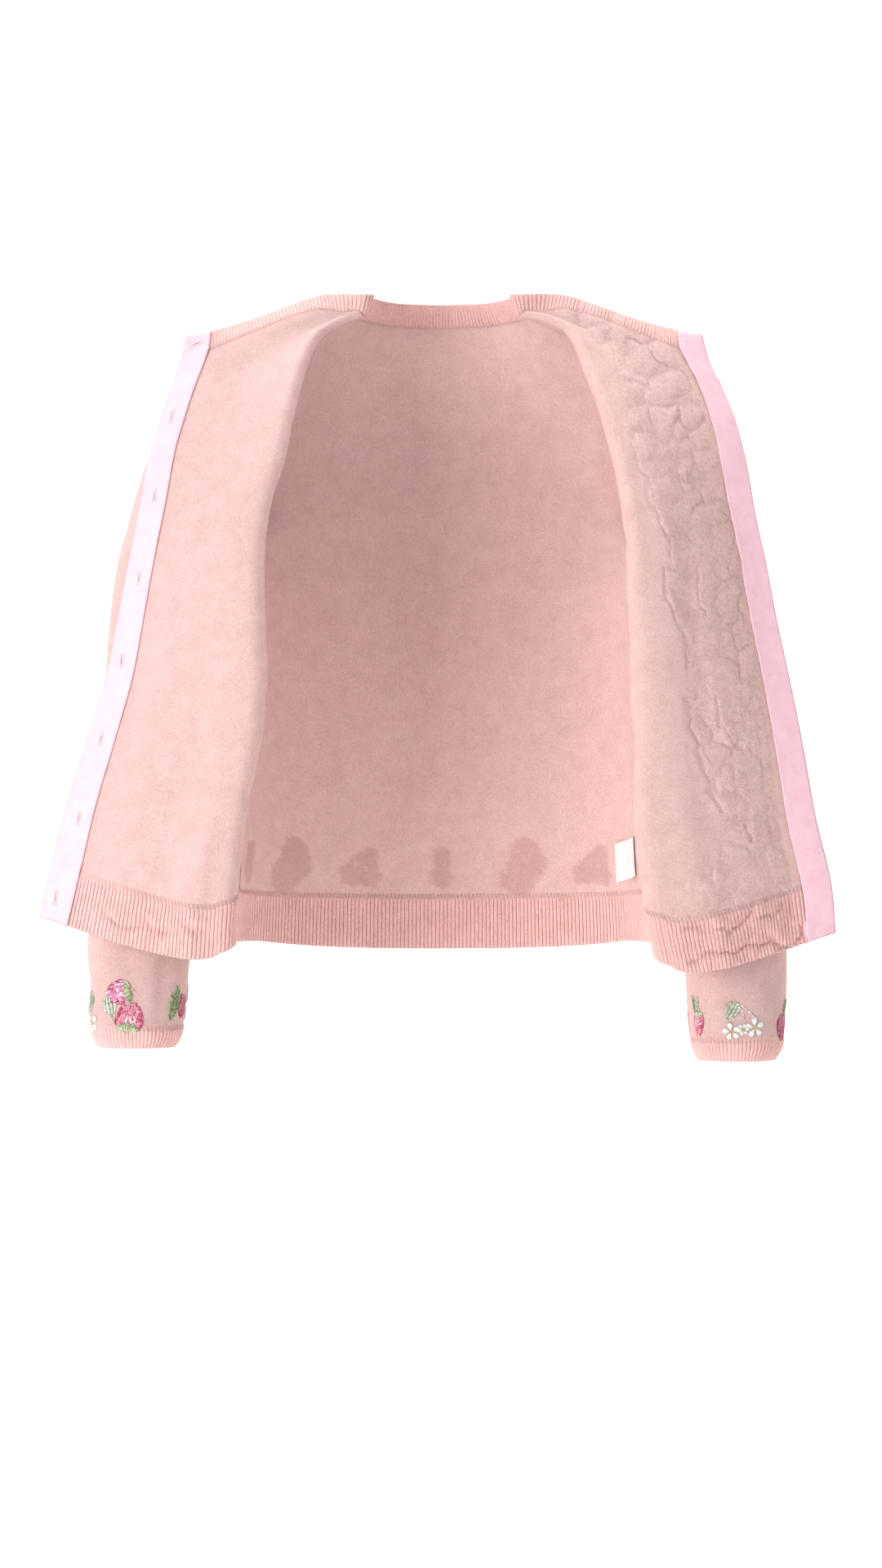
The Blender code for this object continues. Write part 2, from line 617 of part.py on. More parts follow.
# The buttons on the right side of the left front, on the front's own facets. The front is turned
# back, so they lie hidden between it and the sleeve; only the lowest peeps out at the edge.
Button = namedtuple("Button", "down inset")
BUTTONS = (
    Button(-0.020, 0.0190),
    Button(0.150, 0.0195),
    Button(0.305, 0.0200),
    Button(0.457, 0.0195),
    Button(0.609, 0.0195),
    Button(0.757, 0.0180),
    Button(0.907, 0.0150),
    Button(1.053, 0.0045),
)
FACET_ROWS = (NECK_EDGE,) + FRONT_DOWN + (HEM_EDGE,)
for number, (down, inset) in enumerate(BUTTONS, 1):
    row = bisect_right(FACET_ROWS, down)
    above, below = FACET_ROWS[row - 1:row + 1]
    marks = FRONT_ACROSS[-2:] if inset < BUTTON_RADIUS * 2 else FRONT_ACROSS[-3:-1]
    beside, edge = (
        banded_point("left", across, above).lerp(
            banded_point("left", across, below), (down - above) / (below - above))
        for across in marks)
    reach = inset - (banded_point("left", 1, down) - edge).length
    sideways = (beside - edge).normalized()
    downwards = banded_point("left", marks[1], below) - banded_point("left", marks[1], above)
    out = sideways.cross(downwards).normalized()
    if out.y < 0:
        out = -out
    lift = BUTTON_LIFT_BODY
    if down < 0:
        lift = BUTTON_LIFT_NECK
    if down > HEM_SEAM:
        lift = BUTTON_LIFT_HEM
    mesh = bmesh.new()
    bmesh.ops.create_cone(mesh, cap_ends=True, segments=BUTTON_SIDES, radius1=BUTTON_RADIUS,
                          radius2=BUTTON_RADIUS, depth=BUTTON_THICKNESS)
    data = bpy.data.meshes.new("button")
    mesh.to_mesh(data)
    mesh.free()
    data.materials.append(pearl)
    data.shade_smooth()
    button = bpy.data.objects.new(f"button_{number}", data)
    bpy.context.collection.objects.link(button)
    button.location = edge + sideways * reach + out * lift
    button.rotation_euler = out.to_track_quat("Z", "Y").to_euler()
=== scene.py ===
"""A pale pink wool cardigan, worn open, with both fronts turned back over the long sleeves."""

import math
import random
from bisect import bisect_right
from collections import namedtuple
from functools import lru_cache, partial

import bmesh
import bpy
from mathutils import Matrix, Vector, noise
from mathutils.kdtree import KDTree


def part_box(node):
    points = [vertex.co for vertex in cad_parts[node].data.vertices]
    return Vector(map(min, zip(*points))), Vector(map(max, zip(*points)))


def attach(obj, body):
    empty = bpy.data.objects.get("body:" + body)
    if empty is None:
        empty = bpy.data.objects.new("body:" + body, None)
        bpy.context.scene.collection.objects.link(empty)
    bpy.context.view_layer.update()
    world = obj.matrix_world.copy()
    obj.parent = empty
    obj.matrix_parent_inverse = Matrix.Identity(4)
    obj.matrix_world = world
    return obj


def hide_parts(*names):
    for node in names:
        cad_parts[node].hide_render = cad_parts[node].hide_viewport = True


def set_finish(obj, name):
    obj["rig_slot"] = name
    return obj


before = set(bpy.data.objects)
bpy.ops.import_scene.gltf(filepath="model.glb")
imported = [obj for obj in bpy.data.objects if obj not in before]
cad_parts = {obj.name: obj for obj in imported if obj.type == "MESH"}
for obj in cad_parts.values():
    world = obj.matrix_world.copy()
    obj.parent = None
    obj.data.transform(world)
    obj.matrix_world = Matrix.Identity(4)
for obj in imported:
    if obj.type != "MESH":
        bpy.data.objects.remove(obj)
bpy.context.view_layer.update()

# The back
# One panel of fine brushed wool, knitted to shape with cut-in armholes. It is linked to the fronts
# along the shoulders and sides, and its right side faces outwards.

KNIT = 0.0020
SIDE_GAP = 0.0002
RIDGE_GAP = 0.0009
RIDGE_DIP = 0.85
UNDERARM = 0.40
HEM_EDGE = 1.09
SHOULDER_OUT = 0.180
SHOULDER_UP = -0.041
UNDERARM_OUT = 0.168
UNDERARM_UP = -0.205
ARMHOLE_DEPTH = 0.050
NECK_SHARE = 0.40
BACK_BLEND = 0.26
SIDE_PULL = 0.85
MIDDLE_PULL = 1.4
BACK_RIPPLE = 0.0006
SEAM_SETTLES = 0.35
SETTLE_STEP = 0.015
SETTLE_STEPS = 4
SIGN = {"right": -1, "left": 1}

# The side seam below the underarm, and the middle of the back beside it, by the share of the
# body's length from the neckline down.
SideRow = namedtuple("SideRow", "down out z back_y back_z back_turn")
SIDE_ROWS = (
    SideRow(0.00, 0.168, -0.041, 0.068, -0.004, 10),
    SideRow(0.20, 0.168, -0.120, 0.096, -0.100, 24),
    SideRow(0.32, 0.168, -0.172, 0.102, -0.158, 50),
    SideRow(0.40, 0.168, -0.205, 0.104, -0.198, 88),
    SideRow(0.62, 0.164, -0.302, 0.099, -0.302, 90),
    SideRow(0.82, 0.163, -0.392, 0.098, -0.397, 90),
    SideRow(1.00, 0.167, -0.474, 0.101, -0.482, 90),
    SideRow(1.09, 0.170, -0.514, 0.102, -0.524, 90),
)

# Half of the neckline behind the neck, from the neck point (0) to the middle of the back (1), and
# the free edge of the neckband that stands on it.
BackNeckRow = namedtuple("BackNeckRow", "along out y z free_out free_y free_z")
BACK_NECK_ROWS = (
    BackNeckRow(0.00, 0.068, 0.001, 0.001, 0.058, 0.006, 0.016),
    BackNeckRow(0.30, 0.066, 0.029, -0.001, 0.057, 0.027, 0.016),
    BackNeckRow(0.65, 0.042, 0.055, -0.003, 0.036, 0.048, 0.014),
    BackNeckRow(1.00, 0.000, 0.068, -0.004, 0.000, 0.060, 0.014),
)

# Soft folds of the hanging cloth, each a long low swelling, or a trough where its height is below
# zero: its middle, its height, its half width across, its half length down and its slant.
Fold = namedtuple("Fold", "across down height width reach slant")
BACK_FOLDS = (
    Fold(-0.62, 0.80, 0.0040, 0.10, 0.30, 0.10),
    Fold(-0.28, 0.88, -0.0035, 0.13, 0.32, 0.04),
    Fold(0.10, 0.90, 0.0035, 0.12, 0.26, -0.05),
    Fold(0.42, 0.82, -0.0040, 0.11, 0.30, -0.08),
    Fold(0.70, 0.90, 0.0030, 0.09, 0.22, -0.06),
)


def read(rows, column, at):
    """Read one column of a table as a smooth curve."""
    last = len(rows) - 1
    i = max(0, min(last - 1, bisect_right([row[0] for row in rows], at) - 1))

    def slope(k):
        low = rows[max(0, k - 1)]
        high = rows[min(last, k + 1)]
        return (getattr(high, column) - getattr(low, column)) / (high[0] - low[0])

    start = rows[i]
    end = rows[i + 1]
    width = end[0] - start[0]
    s = (at - start[0]) / width
    return (
        (2 * s ** 3 - 3 * s ** 2 + 1) * getattr(start, column)
        + (s ** 3 - 2 * s ** 2 + s) * width * slope(i)
        + (3 * s ** 2 - 2 * s ** 3) * getattr(end, column)
        + (s ** 3 - s ** 2) * width * slope(i + 1)
    )


def bend(start, leave, end, arrive, s):
    """A point on the curve that leaves start along one vector and arrives at end along another."""
    return (
        start * (2 * s ** 3 - 3 * s ** 2 + 1)
        + leave * (s ** 3 - 2 * s ** 2 + s)
        + end * (3 * s ** 2 - 2 * s ** 3)
        + arrive * (s ** 3 - s ** 2)
    )


def fade(at, reach):
    """One at zero, falling smoothly to nothing at reach."""
    return max(0.0, 1 - at / reach) ** 2


def swell(folds, across, down, tube=False):
    """The height of a piece's soft folds at one place; round a tube, across 0 and 1 are one line."""
    height = 0.0
    for fold in folds:
        along = (down - fold.down) / fold.reach
        beside = across - fold.across - fold.slant * (down - fold.down)
        if tube:
            beside = (beside + 0.5) % 1 - 0.5
        height += fold.height * math.exp(-along ** 2 - (beside / fold.width) ** 2)
    return height


@lru_cache(maxsize=None)
def armhole(side, down, facing):
    """The armhole's edge and then the side seam; facing is -1 on the front and 1 on the back."""
    sign = SIGN[side]
    if down >= UNDERARM:
        return Vector((sign * read(SIDE_ROWS, "out", down), facing * SIDE_GAP,
                       read(SIDE_ROWS, "z", down)))
    angle = math.pi * down / UNDERARM
    top = Vector((sign * SHOULDER_OUT, facing * RIDGE_GAP, SHOULDER_UP))
    foot = Vector((sign * UNDERARM_OUT, facing * SIDE_GAP, UNDERARM_UP))
    middle = (top + foot) / 2
    lap = Vector((0, facing * ARMHOLE_DEPTH * math.sin(angle), 0))
    return middle + (top - foot) / 2 * math.cos(angle) + lap


def back_neck(across):
    """The seam and the free edge behind the neck; across runs from -1 to 1."""
    along = 1 - abs(across)
    sign = 1 if across > 0 else -1
    seam = Vector((sign * read(BACK_NECK_ROWS, "out", along), read(BACK_NECK_ROWS, "y", along),
                   read(BACK_NECK_ROWS, "z", along)))
    free = Vector((sign * read(BACK_NECK_ROWS, "free_out", along),
                   read(BACK_NECK_ROWS, "free_y", along),
                   read(BACK_NECK_ROWS, "free_z", along)))
    return seam, free


@lru_cache(maxsize=None)
def back_top(across):
    """The back's upper edge: shoulder seam, neckline, shoulder seam."""
    if abs(across) <= NECK_SHARE:
        return back_neck(across / NECK_SHARE)[0]
    s = (abs(across) - NECK_SHARE) / (1 - NECK_SHARE)
    side = "left" if across > 0 else "right"
    neck = back_neck(SIGN[side])[0]
    tip = armhole(side, 0, 1)
    point = neck.lerp(tip, s)
    point.y = RIDGE_GAP
    point.z = neck.z + (tip.z - neck.z) * s ** RIDGE_DIP
    return point


@lru_cache(maxsize=None)
def back_line(side, down):
    """Half of a crosswise line of the back: its ends, its span and the directions between."""
    inward = Vector((-SIGN[side], 0, 0))
    seam = armhole(side, down, 1)
    beside = [armhole(side, min(HEM_EDGE, max(0.0, down + k * SETTLE_STEP)), 1)
              for k in range(-SETTLE_STEPS, SETTLE_STEPS + 1)]
    settled = sum(beside, Vector()) / len(beside)
    middle = Vector((0, read(SIDE_ROWS, "back_y", down), read(SIDE_ROWS, "back_z", down)))
    turn = math.radians(read(SIDE_ROWS, "back_turn", down))
    leave = inward * math.cos(turn) + Vector((0, math.sin(turn), 0))
    return seam, settled, leave, middle, inward, math.hypot(UNDERARM_OUT, middle.y)


def back_point(across, down):
    """A point of the back's middle surface, from the right side (-1) to the left (1)."""
    seam, settled, leave, middle, inward, span = back_line("left" if across > 0 else "right", down)
    away = min(1.0, (1 - abs(across)) / SEAM_SETTLES)
    seam = seam.lerp(settled, away ** 2 * (3 - 2 * away))
    point = bend(seam, leave * span * SIDE_PULL, middle, inward * span * MIDDLE_PULL,
                 1 - abs(across))
    point.z = middle.z + (seam.z - middle.z) * across ** 2
    point.y += swell(BACK_FOLDS, across, down) * math.cos(across * math.pi / 2)
    point.y += BACK_RIPPLE * noise.noise(Vector((across * 9, down * 20, 3))) * (1 - across ** 4)
    return point.lerp(back_top(across), fade(down, BACK_BLEND))


def steps(start, end, count):
    """Evenly spaced numbers from start to end."""
    return [start + (end - start) * k / count for k in range(count + 1)]


def running(points):
    """How far each point of a line lies from its first one, along the line."""
    marks = [0.0]
    for a, b in zip(points, points[1:]):
        marks.append(marks[-1] + (b - a).length)
    return marks


SAME_PLACE = 1e-6


def made_from(name, mesh, finishes=()):
    """The object that a mesh becomes, placed in the scene with its finishes."""
    data = bpy.data.meshes.new(name)
    mesh.to_mesh(data)
    mesh.free()
    for finish in finishes:
        data.materials.append(finish)
    data.shade_smooth()
    piece = bpy.data.objects.new(name, data)
    bpy.context.collection.objects.link(piece)
    return piece


def cloth(name, lines, thickness, finishes, closed=False, turned=False):
    """A shell of cloth on a grid of points, mapped in metres along its lines and down them. Its
    right side lies to the left of a line's direction, seen from above, unless it is turned."""
    columns = len(lines[0])
    mesh = bmesh.new()
    bmesh.ops.create_grid(mesh, x_segments=columns - 1, y_segments=len(lines) - 1, size=1)
    mesh.verts.ensure_lookup_table()
    across = [running(line) for line in lines]
    down = [running(column) for column in zip(*lines)]
    place = mesh.loops.layers.uv.new("cloth")
    row_of = mesh.verts.layers.int.new("row")
    column_of = mesh.verts.layers.int.new("column")
    for face in mesh.faces:
        for loop in face.loops:
            row, column = divmod(loop.vert.index, columns)
            loop[place].uv = (across[row][column], -down[column][row])
    for index, vert in enumerate(mesh.verts):
        vert[row_of], vert[column_of] = divmod(index, columns)
        vert.co = lines[index // columns][index % columns]
    if closed:
        bmesh.ops.remove_doubles(mesh, verts=mesh.verts, dist=SAME_PLACE)
    if turned:
        bmesh.ops.reverse_faces(mesh, faces=mesh.faces)
    piece = made_from(name, mesh, finishes)
    wall = piece.modifiers.new("wall", "SOLIDIFY")
    wall.thickness = thickness
    wall.offset = 0
    wall.material_offset = len(finishes) - 1
    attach(piece, "root")
    return piece


def finish_nodes(name):
    """A new material, with short ways to add a node, a sum or a blend of two colours to it, and to
    set or link its shader's sockets."""
    made = bpy.data.materials.new(name)
    made.use_nodes = True
    tree = made.node_tree

    def join(receiver, inputs):
        for socket, value in inputs.items():
            if isinstance(value, bpy.types.NodeSocket):
                tree.links.new(value, receiver.inputs[socket])
            else:
                receiver.inputs[socket].default_value = value

    def node(kind, inputs, **settings):
        new = tree.nodes.new("ShaderNode" + kind)
        for setting, value in settings.items():
            setattr(new, setting, value)
        join(new, inputs)
        return new.outputs

    def calc(operation, first, second=0.0):
        return node("Math", {0: first, 1: second}, operation=operation)[0]

    def blend(value, *ends):
        ramp = node("ValToRGB", {"Fac": value})[0]
        for mark, (position, colour) in zip(list(ramp.node.color_ramp.elements), ends):
            mark.position = position
            mark.color = (*colour, 1)
        return ramp

    def finish(inputs):
        join(tree.nodes["Principled BSDF"], inputs)
        return made

    return node, calc, blend, finish


def shade_of(colour, red, green, blue):
    """A colour with its red, green and blue each made weaker or stronger."""
    return colour[0] * red, colour[1] * green, colour[2] * blue


def wool(name, colour, wale, course, wrong_side=False, grooves=None):
    """Brushed wool: rows of fine stitches under a short nap, a little cloudy in colour, with painted
    shade between the loops. Where the mesh has the measure "worked" it is felted, and where it has the
    measure named by grooves it is painted darker, as painted shade."""
    node, calc, blend, finish = finish_nodes(name)
    place = node("TexCoord", {})["Object"]
    fibres = node("TexNoise", {"Vector": place, "Scale": 700, "Detail": 3, "Roughness": 0.7})[0]
    clouds = node("TexNoise", {"Vector": place, "Scale": 70, "Detail": 4, "Roughness": 0.6})[0]
    stitch = node("SeparateXYZ", {0: node("UVMap", {}, uv_map="cloth")[0]})
    drift = calc("MULTIPLY", calc("SUBTRACT", fibres, 0.5), wale * 0.7)
    column = calc("DIVIDE", calc("ADD", stitch["X"], drift), wale)
    row = calc("DIVIDE", calc("ADD", stitch["Y"], drift), course)
    if wrong_side:
        wave = calc("MULTIPLY", calc("COSINE", calc("MULTIPLY", column, 2 * math.pi)), 0.22)
        loops = calc("ABSOLUTE", calc("SINE", calc("MULTIPLY", calc("ADD", row, wave), math.pi)))
    else:
        beside = calc("MULTIPLY", calc("ABSOLUTE", calc("SUBTRACT", calc("FRACT", column), 0.5)), 2)
        leaning = calc("ADD", row, calc("MULTIPLY", beside, -0.5))
        legs = calc("ABSOLUTE", calc("SINE", calc("MULTIPLY", leaning, math.pi)))
        loops = calc("MULTIPLY", legs, calc("SUBTRACT", 1, calc("POWER", beside, 5)))
    worked = node("Attribute", {}, attribute_name="worked")["Fac"]
    felt = node("TexNoise", {"Vector": place, "Scale": 340, "Detail": 4, "Roughness": 0.65})[0]
    felted = calc("MULTIPLY", calc("SUBTRACT", felt, 0.5), worked)
    height = calc("ADD", calc("MULTIPLY", loops, 0.45), fibres)
    height = calc("ADD", height, calc("MULTIPLY", felted, 0.8))
    cloudy = calc("ADD", calc("MULTIPLY", fibres, 0.60), calc("MULTIPLY", clouds, 0.25))
    # Painted shade: the hollows between the loops are darker and the loops' tops lighter.
    tone = calc("ADD", cloudy, calc("MULTIPLY", loops, 0.15))
    tone = calc("ADD", tone, calc("MULTIPLY", felted, 0.55))
    # Painted shade: where the measure named by grooves is high, the wool is painted darker.
    if grooves:
        painted_shade = node("Attribute", {}, attribute_name=grooves)["Fac"]
        tone = calc("SUBTRACT", tone, calc("MULTIPLY", painted_shade, 0.10))
    return finish({
        "Base Color": blend(tone, (0.28, shade_of(colour, 0.74, 0.66, 0.65)),
                            (0.72, shade_of(colour, 1.12, 1.21, 1.21))),
        "Normal": node("Bump", {"Height": height, "Strength": 0.85, "Distance": 0.0008})[0],
        "Roughness": 0.95, "Specular IOR Level": 0.15,
        "Sheen Weight": 0.25, "Sheen Roughness": 0.6, "Sheen Tint": (1.0, 0.80, 0.77, 1)})


SALMON = (0.850, 0.550, 0.521)
wool_right = wool("brushed wool right side", SALMON, 0.0015, 0.0011)
wool_wrong = wool("brushed wool wrong side", SALMON, 0.0015, 0.0011, wrong_side=True)

BACK_ACROSS = steps(-1, 1, 120)
BACK_DOWN = steps(0, 0.88, 90) + steps(0.88, 1, 30)[1:]
# The back's wrong side carries painted shade behind the embroidery motifs.
wool_painted_behind_motifs = wool("brushed wool with painted shade behind embroidery", SALMON, 0.0015, 0.0011, wrong_side=True,
                   grooves="painted shade behind motifs")
back = cloth("back_panel", [[back_point(across, down) for across in BACK_ACROSS]
                            for down in BACK_DOWN], KNIT, (wool_right, wool_painted_behind_motifs))
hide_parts("back")
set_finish(back, "wool_knit")

# The fronts
# Two panels of the same wool, open down the middle. Each turns outwards on a soft fold at the
# chest and lies back over its sleeve, so that the wrong side of the knitting shows.

# One row for each crosswise line of a front, from the neckline down. "out" is the distance from the
# garment's middle and "roll" the radius of the fold. "turn" is the angle in degrees at which the line
# leaves the armhole or side seam, from inwards to straight forward, and "tilt" is how far the fold
# faces downwards.
FrontRow = namedtuple(
    "FrontRow", "down fold_out fold_y fold_z roll edge_out edge_y edge_z turn tilt")
FRONT_ROWS = {
    "right": (
        FrontRow(0.00, 0.063, -0.007, -0.003, 0.006, 0.214, -0.020, -0.044, 0, 40),
        FrontRow(0.04, 0.082, -0.013, -0.010, 0.005, 0.219, -0.026, -0.061, 3, 38),
        FrontRow(0.08, 0.098, -0.023, -0.022, 0.006, 0.224, -0.032, -0.077, 6, 32),
        FrontRow(0.13, 0.109, -0.039, -0.046, 0.007, 0.230, -0.039, -0.098, 9, 22),
        FrontRow(0.20, 0.118, -0.058, -0.082, 0.008, 0.238, -0.045, -0.127, 14, 14),
        FrontRow(0.30, 0.129, -0.078, -0.133, 0.009, 0.245, -0.049, -0.168, 40, 8),
        FrontRow(0.40, 0.141, -0.089, -0.183, 0.010, 0.253, -0.051, -0.209, 88, 2),
        FrontRow(0.50, 0.142, -0.092, -0.233, 0.011, 0.261, -0.051, -0.250, 95, 0),
        FrontRow(0.62, 0.140, -0.090, -0.293, 0.012, 0.271, -0.050, -0.299, 97, 0),
        FrontRow(0.75, 0.146, -0.086, -0.358, 0.012, 0.287, -0.049, -0.351, 97, 0),
        FrontRow(0.88, 0.158, -0.082, -0.422, 0.012, 0.303, -0.048, -0.402, 97, 0),
        FrontRow(1.00, 0.164, -0.079, -0.482, 0.012, 0.315, -0.046, -0.451, 97, 0),
        FrontRow(1.09, 0.166, -0.077, -0.520, 0.012, 0.325, -0.045, -0.492, 97, 0),
    ),
    "left": (
        FrontRow(0.00, 0.063, -0.007, -0.003, 0.006, 0.218, -0.020, -0.043, 0, 40),
        FrontRow(0.04, 0.084, -0.013, -0.007, 0.005, 0.225, -0.026, -0.059, 3, 38),
        FrontRow(0.08, 0.101, -0.023, -0.018, 0.006, 0.232, -0.032, -0.075, 6, 32),
        FrontRow(0.13, 0.112, -0.039, -0.043, 0.007, 0.239, -0.039, -0.096, 9, 22),
        FrontRow(0.20, 0.125, -0.058, -0.079, 0.008, 0.246, -0.045, -0.126, 14, 14),
        FrontRow(0.30, 0.138, -0.078, -0.130, 0.009, 0.253, -0.049, -0.168, 40, 8),
        FrontRow(0.40, 0.146, -0.089, -0.182, 0.010, 0.262, -0.051, -0.210, 88, 2),
        FrontRow(0.50, 0.149, -0.092, -0.234, 0.011, 0.270, -0.051, -0.253, 95, 0),
        FrontRow(0.62, 0.151, -0.090, -0.296, 0.012, 0.281, -0.050, -0.303, 97, 0),
        FrontRow(0.75, 0.154, -0.086, -0.363, 0.012, 0.292, -0.049, -0.358, 97, 0),
        FrontRow(0.88, 0.155, -0.082, -0.431, 0.012, 0.302, -0.048, -0.413, 97, 0),
        FrontRow(1.00, 0.163, -0.079, -0.492, 0.012, 0.314, -0.046, -0.463, 97, 0),
        FrontRow(1.09, 0.171, -0.077, -0.530, 0.012, 0.318, -0.045, -0.505, 97, 0),
    ),
}

# The turned-out neckline, from the fold (0) to the front edge (1). "rise" is the seam's height above
# a straight line between those two, "wrap" how far it lies back over the shoulder, and the rest
# leads from the seam to the band's free edge.
NeckRow = namedtuple("NeckRow", "along rise wrap free_out free_y free_z")
NECK_ROWS = (
    NeckRow(0.00, 0.000, 0.000, -0.002, 0.005, 0.014),
    NeckRow(0.12, 0.005, 0.002, 0.002, 0.009, 0.015),
    NeckRow(0.24, 0.012, 0.004, 0.003, 0.013, 0.012),
    NeckRow(0.40, 0.013, 0.007, 0.003, 0.015, 0.010),
    NeckRow(0.60, 0.009, 0.007, 0.003, 0.014, 0.011),
    NeckRow(0.80, 0.005, 0.004, 0.000, 0.010, 0.015),
    NeckRow(1.00, 0.000, 0.000, -0.006, 0.004, 0.024),
)

HEM_SAG = 0.008
HEM_SAG_START = 0.6
HEM_SAG_EASE = 0.02
HEM_CORNER = 0.005
FOLD_WAVE = 0.0016
FOLD_WAVE_START = 0.05
SMOOTH_BY_FOLD = 0.15
RISE_REACH = 0.12
WRAP_REACH = 0.07

# Shares of a crosswise line: up to the roll, round it, and out to the edge.
UNDER_END = 0.34
ROLL_END = 0.46
UNDER_PULL = 0.9
EDGE_FLARE = 0.42

FRONT_FOLDS = {
    "right": (
        Fold(0.545, 1.00, 0.0040, 0.035, 0.13, 0.15),
        Fold(0.640, 0.95, -0.0035, 0.050, 0.25, 0.10),
        Fold(0.780, 0.72, 0.0030, 0.070, 0.25, 0.08),
    ),
    "left": (
        Fold(0.560, 0.30, 0.0030, 0.045, 0.16, 0.10),
        Fold(0.640, 0.62, -0.0030, 0.055, 0.25, -0.05),
        Fold(0.620, 1.02, 0.0040, 0.050, 0.16, 0.20),
        Fold(0.860, 1.00, -0.0035, 0.055, 0.20, 0.00),
    ),
}

# Narrow creases, where the embroidery on the right side draws the knitting together, and a few
# that the hem makes. Each is a line of places across and down, with its depth and half width.
Crease = namedtuple("Crease", "depth width places")
FRONT_CREASES = {
    "right": (
        Crease(0.0007, 0.0040, ((0.482, 0.997), (0.456, 0.961), (0.431, 0.936))),
        Crease(0.0004, 0.0030, ((0.540, 0.960), (0.575, 0.972), (0.610, 0.968))),
        Crease(0.0004, 0.0030, ((0.700, 0.940), (0.745, 0.955), (0.760, 0.985))),
        Crease(0.0003, 0.0030, ((0.640, 0.820), (0.655, 0.860), (0.640, 0.890))),
        Crease(0.0003, 0.0026, ((0.780, 0.300), (0.800, 0.330), (0.790, 0.360))),
        Crease(0.0003, 0.0026, ((0.560, 0.120), (0.600, 0.135), (0.640, 0.130))),
        Crease(0.0022, 0.0028, ((0.500, 1.045), (0.560, 1.030), (0.620, 1.050), (0.680, 1.042),
                                (0.740, 1.060), (0.800, 1.052))),
    ),
    "left": (
        Crease(0.0009, 0.0018, ((0.568, 0.228), (0.509, 0.250), (0.501, 0.296), (0.525, 0.315),
                                (0.521, 0.353), (0.552, 0.376), (0.566, 0.397), (0.572, 0.429))),
        Crease(0.0010, 0.0018, ((0.588, 0.447), (0.543, 0.460), (0.548, 0.501), (0.571, 0.526),
                                (0.596, 0.563), (0.601, 0.605))),
        Crease(0.0009, 0.0015, ((0.685, 0.441), (0.679, 0.490), (0.701, 0.517))),
        Crease(0.0008, 0.0015, ((0.768, 0.228), (0.755, 0.263), (0.711, 0.285))),
        Crease(0.0011, 0.0018, ((0.626, 0.650), (0.591, 0.660), (0.593, 0.701), (0.618, 0.726),
                                (0.633, 0.762), (0.673, 0.799), (0.656, 0.807), (0.691, 0.836))),
        Crease(0.0009, 0.0015, ((0.704, 0.655), (0.705, 0.701), (0.722, 0.719), (0.767, 0.743))),
        Crease(0.0008, 0.0015, ((0.812, 0.730), (0.809, 0.754), (0.767, 0.781))),
        Crease(0.0007, 0.0014, ((0.778, 0.857), (0.775, 0.890))),
        Crease(0.0007, 0.0014, ((0.638, 0.926), (0.629, 0.952))),
        Crease(0.0007, 0.0014, ((0.555, 0.928), (0.533, 0.944))),
        Crease(0.0024, 0.0026, ((0.524, 1.009), (0.579, 1.012), (0.639, 1.025), (0.667, 1.028),
                                (0.702, 1.018), (0.740, 1.007))),
        Crease(0.0020, 0.0024, ((0.763, 1.021), (0.804, 1.028), (0.826, 1.011))),
        Crease(0.0024, 0.0026, ((0.534, 1.073), (0.584, 1.056), (0.655, 1.069), (0.701, 1.061),
                                (0.751, 1.069), (0.792, 1.069), (0.818, 1.086), (0.862, 1.086),
                                (0.890, 1.066))),
    ),
}

# A front's width and the body's length in metres, for places that are given as shares of them.
FLAP_SCALE = 0.255
LENGTH_SCALE = 0.485
CREASE_SWAY = 0.0046
CREASE_REACH = 7
CREASE_RISE = 0.55
RISE_AT = 2.4
RISE_WIDTH = 1.7
FRONT_RIPPLE = {"right": 0.0004, "left": 0.0006}

# Creases and puckers sway by chance, from a fixed seed, so that every run makes the same cloth.
CREASE_SEED = 5
noise.seed_set(CREASE_SEED)

# Where the part of each front that is embroidered on its right side begins, by the share of the
# length. It puckers into irregular patches, which show on the wrong side.
WorkedRow = namedtuple("WorkedRow", "down across")
WORKED_ROWS = {
    "right": (
        WorkedRow(-0.05, 0.99), WorkedRow(0.10, 0.90), WorkedRow(0.45, 0.90), WorkedRow(0.70, 0.84),
        WorkedRow(0.80, 0.70), WorkedRow(0.90, 0.60), WorkedRow(1.00, 0.56), WorkedRow(1.10, 0.56),
    ),
    "left": (
        WorkedRow(-0.05, 0.54), WorkedRow(0.06, 0.51), WorkedRow(0.16, 0.52), WorkedRow(0.23, 0.53),
        WorkedRow(0.25, 0.505), WorkedRow(0.30, 0.50), WorkedRow(0.35, 0.52), WorkedRow(0.42, 0.57),
        WorkedRow(0.44, 0.58), WorkedRow(0.46, 0.545), WorkedRow(0.51, 0.55), WorkedRow(0.56, 0.59),
        WorkedRow(0.64, 0.61), WorkedRow(0.66, 0.59), WorkedRow(0.71, 0.60), WorkedRow(0.76, 0.63),
        WorkedRow(0.84, 0.69), WorkedRow(0.91, 0.65), WorkedRow(0.95, 0.56), WorkedRow(1.10, 0.52),
    ),
}
WORKED_SHARE = {"right": 0.35, "left": 1.0}
WORKED_END = 0.885
WORKED_WAVE = 0.012
WORKED_EASE = 0.016
WORKED_END_EASE = 0.02
PATCH = 0.022
PATCH_SEAM = 0.10
PUCKER = 0.0013
PATCH_DOME = 0.0022


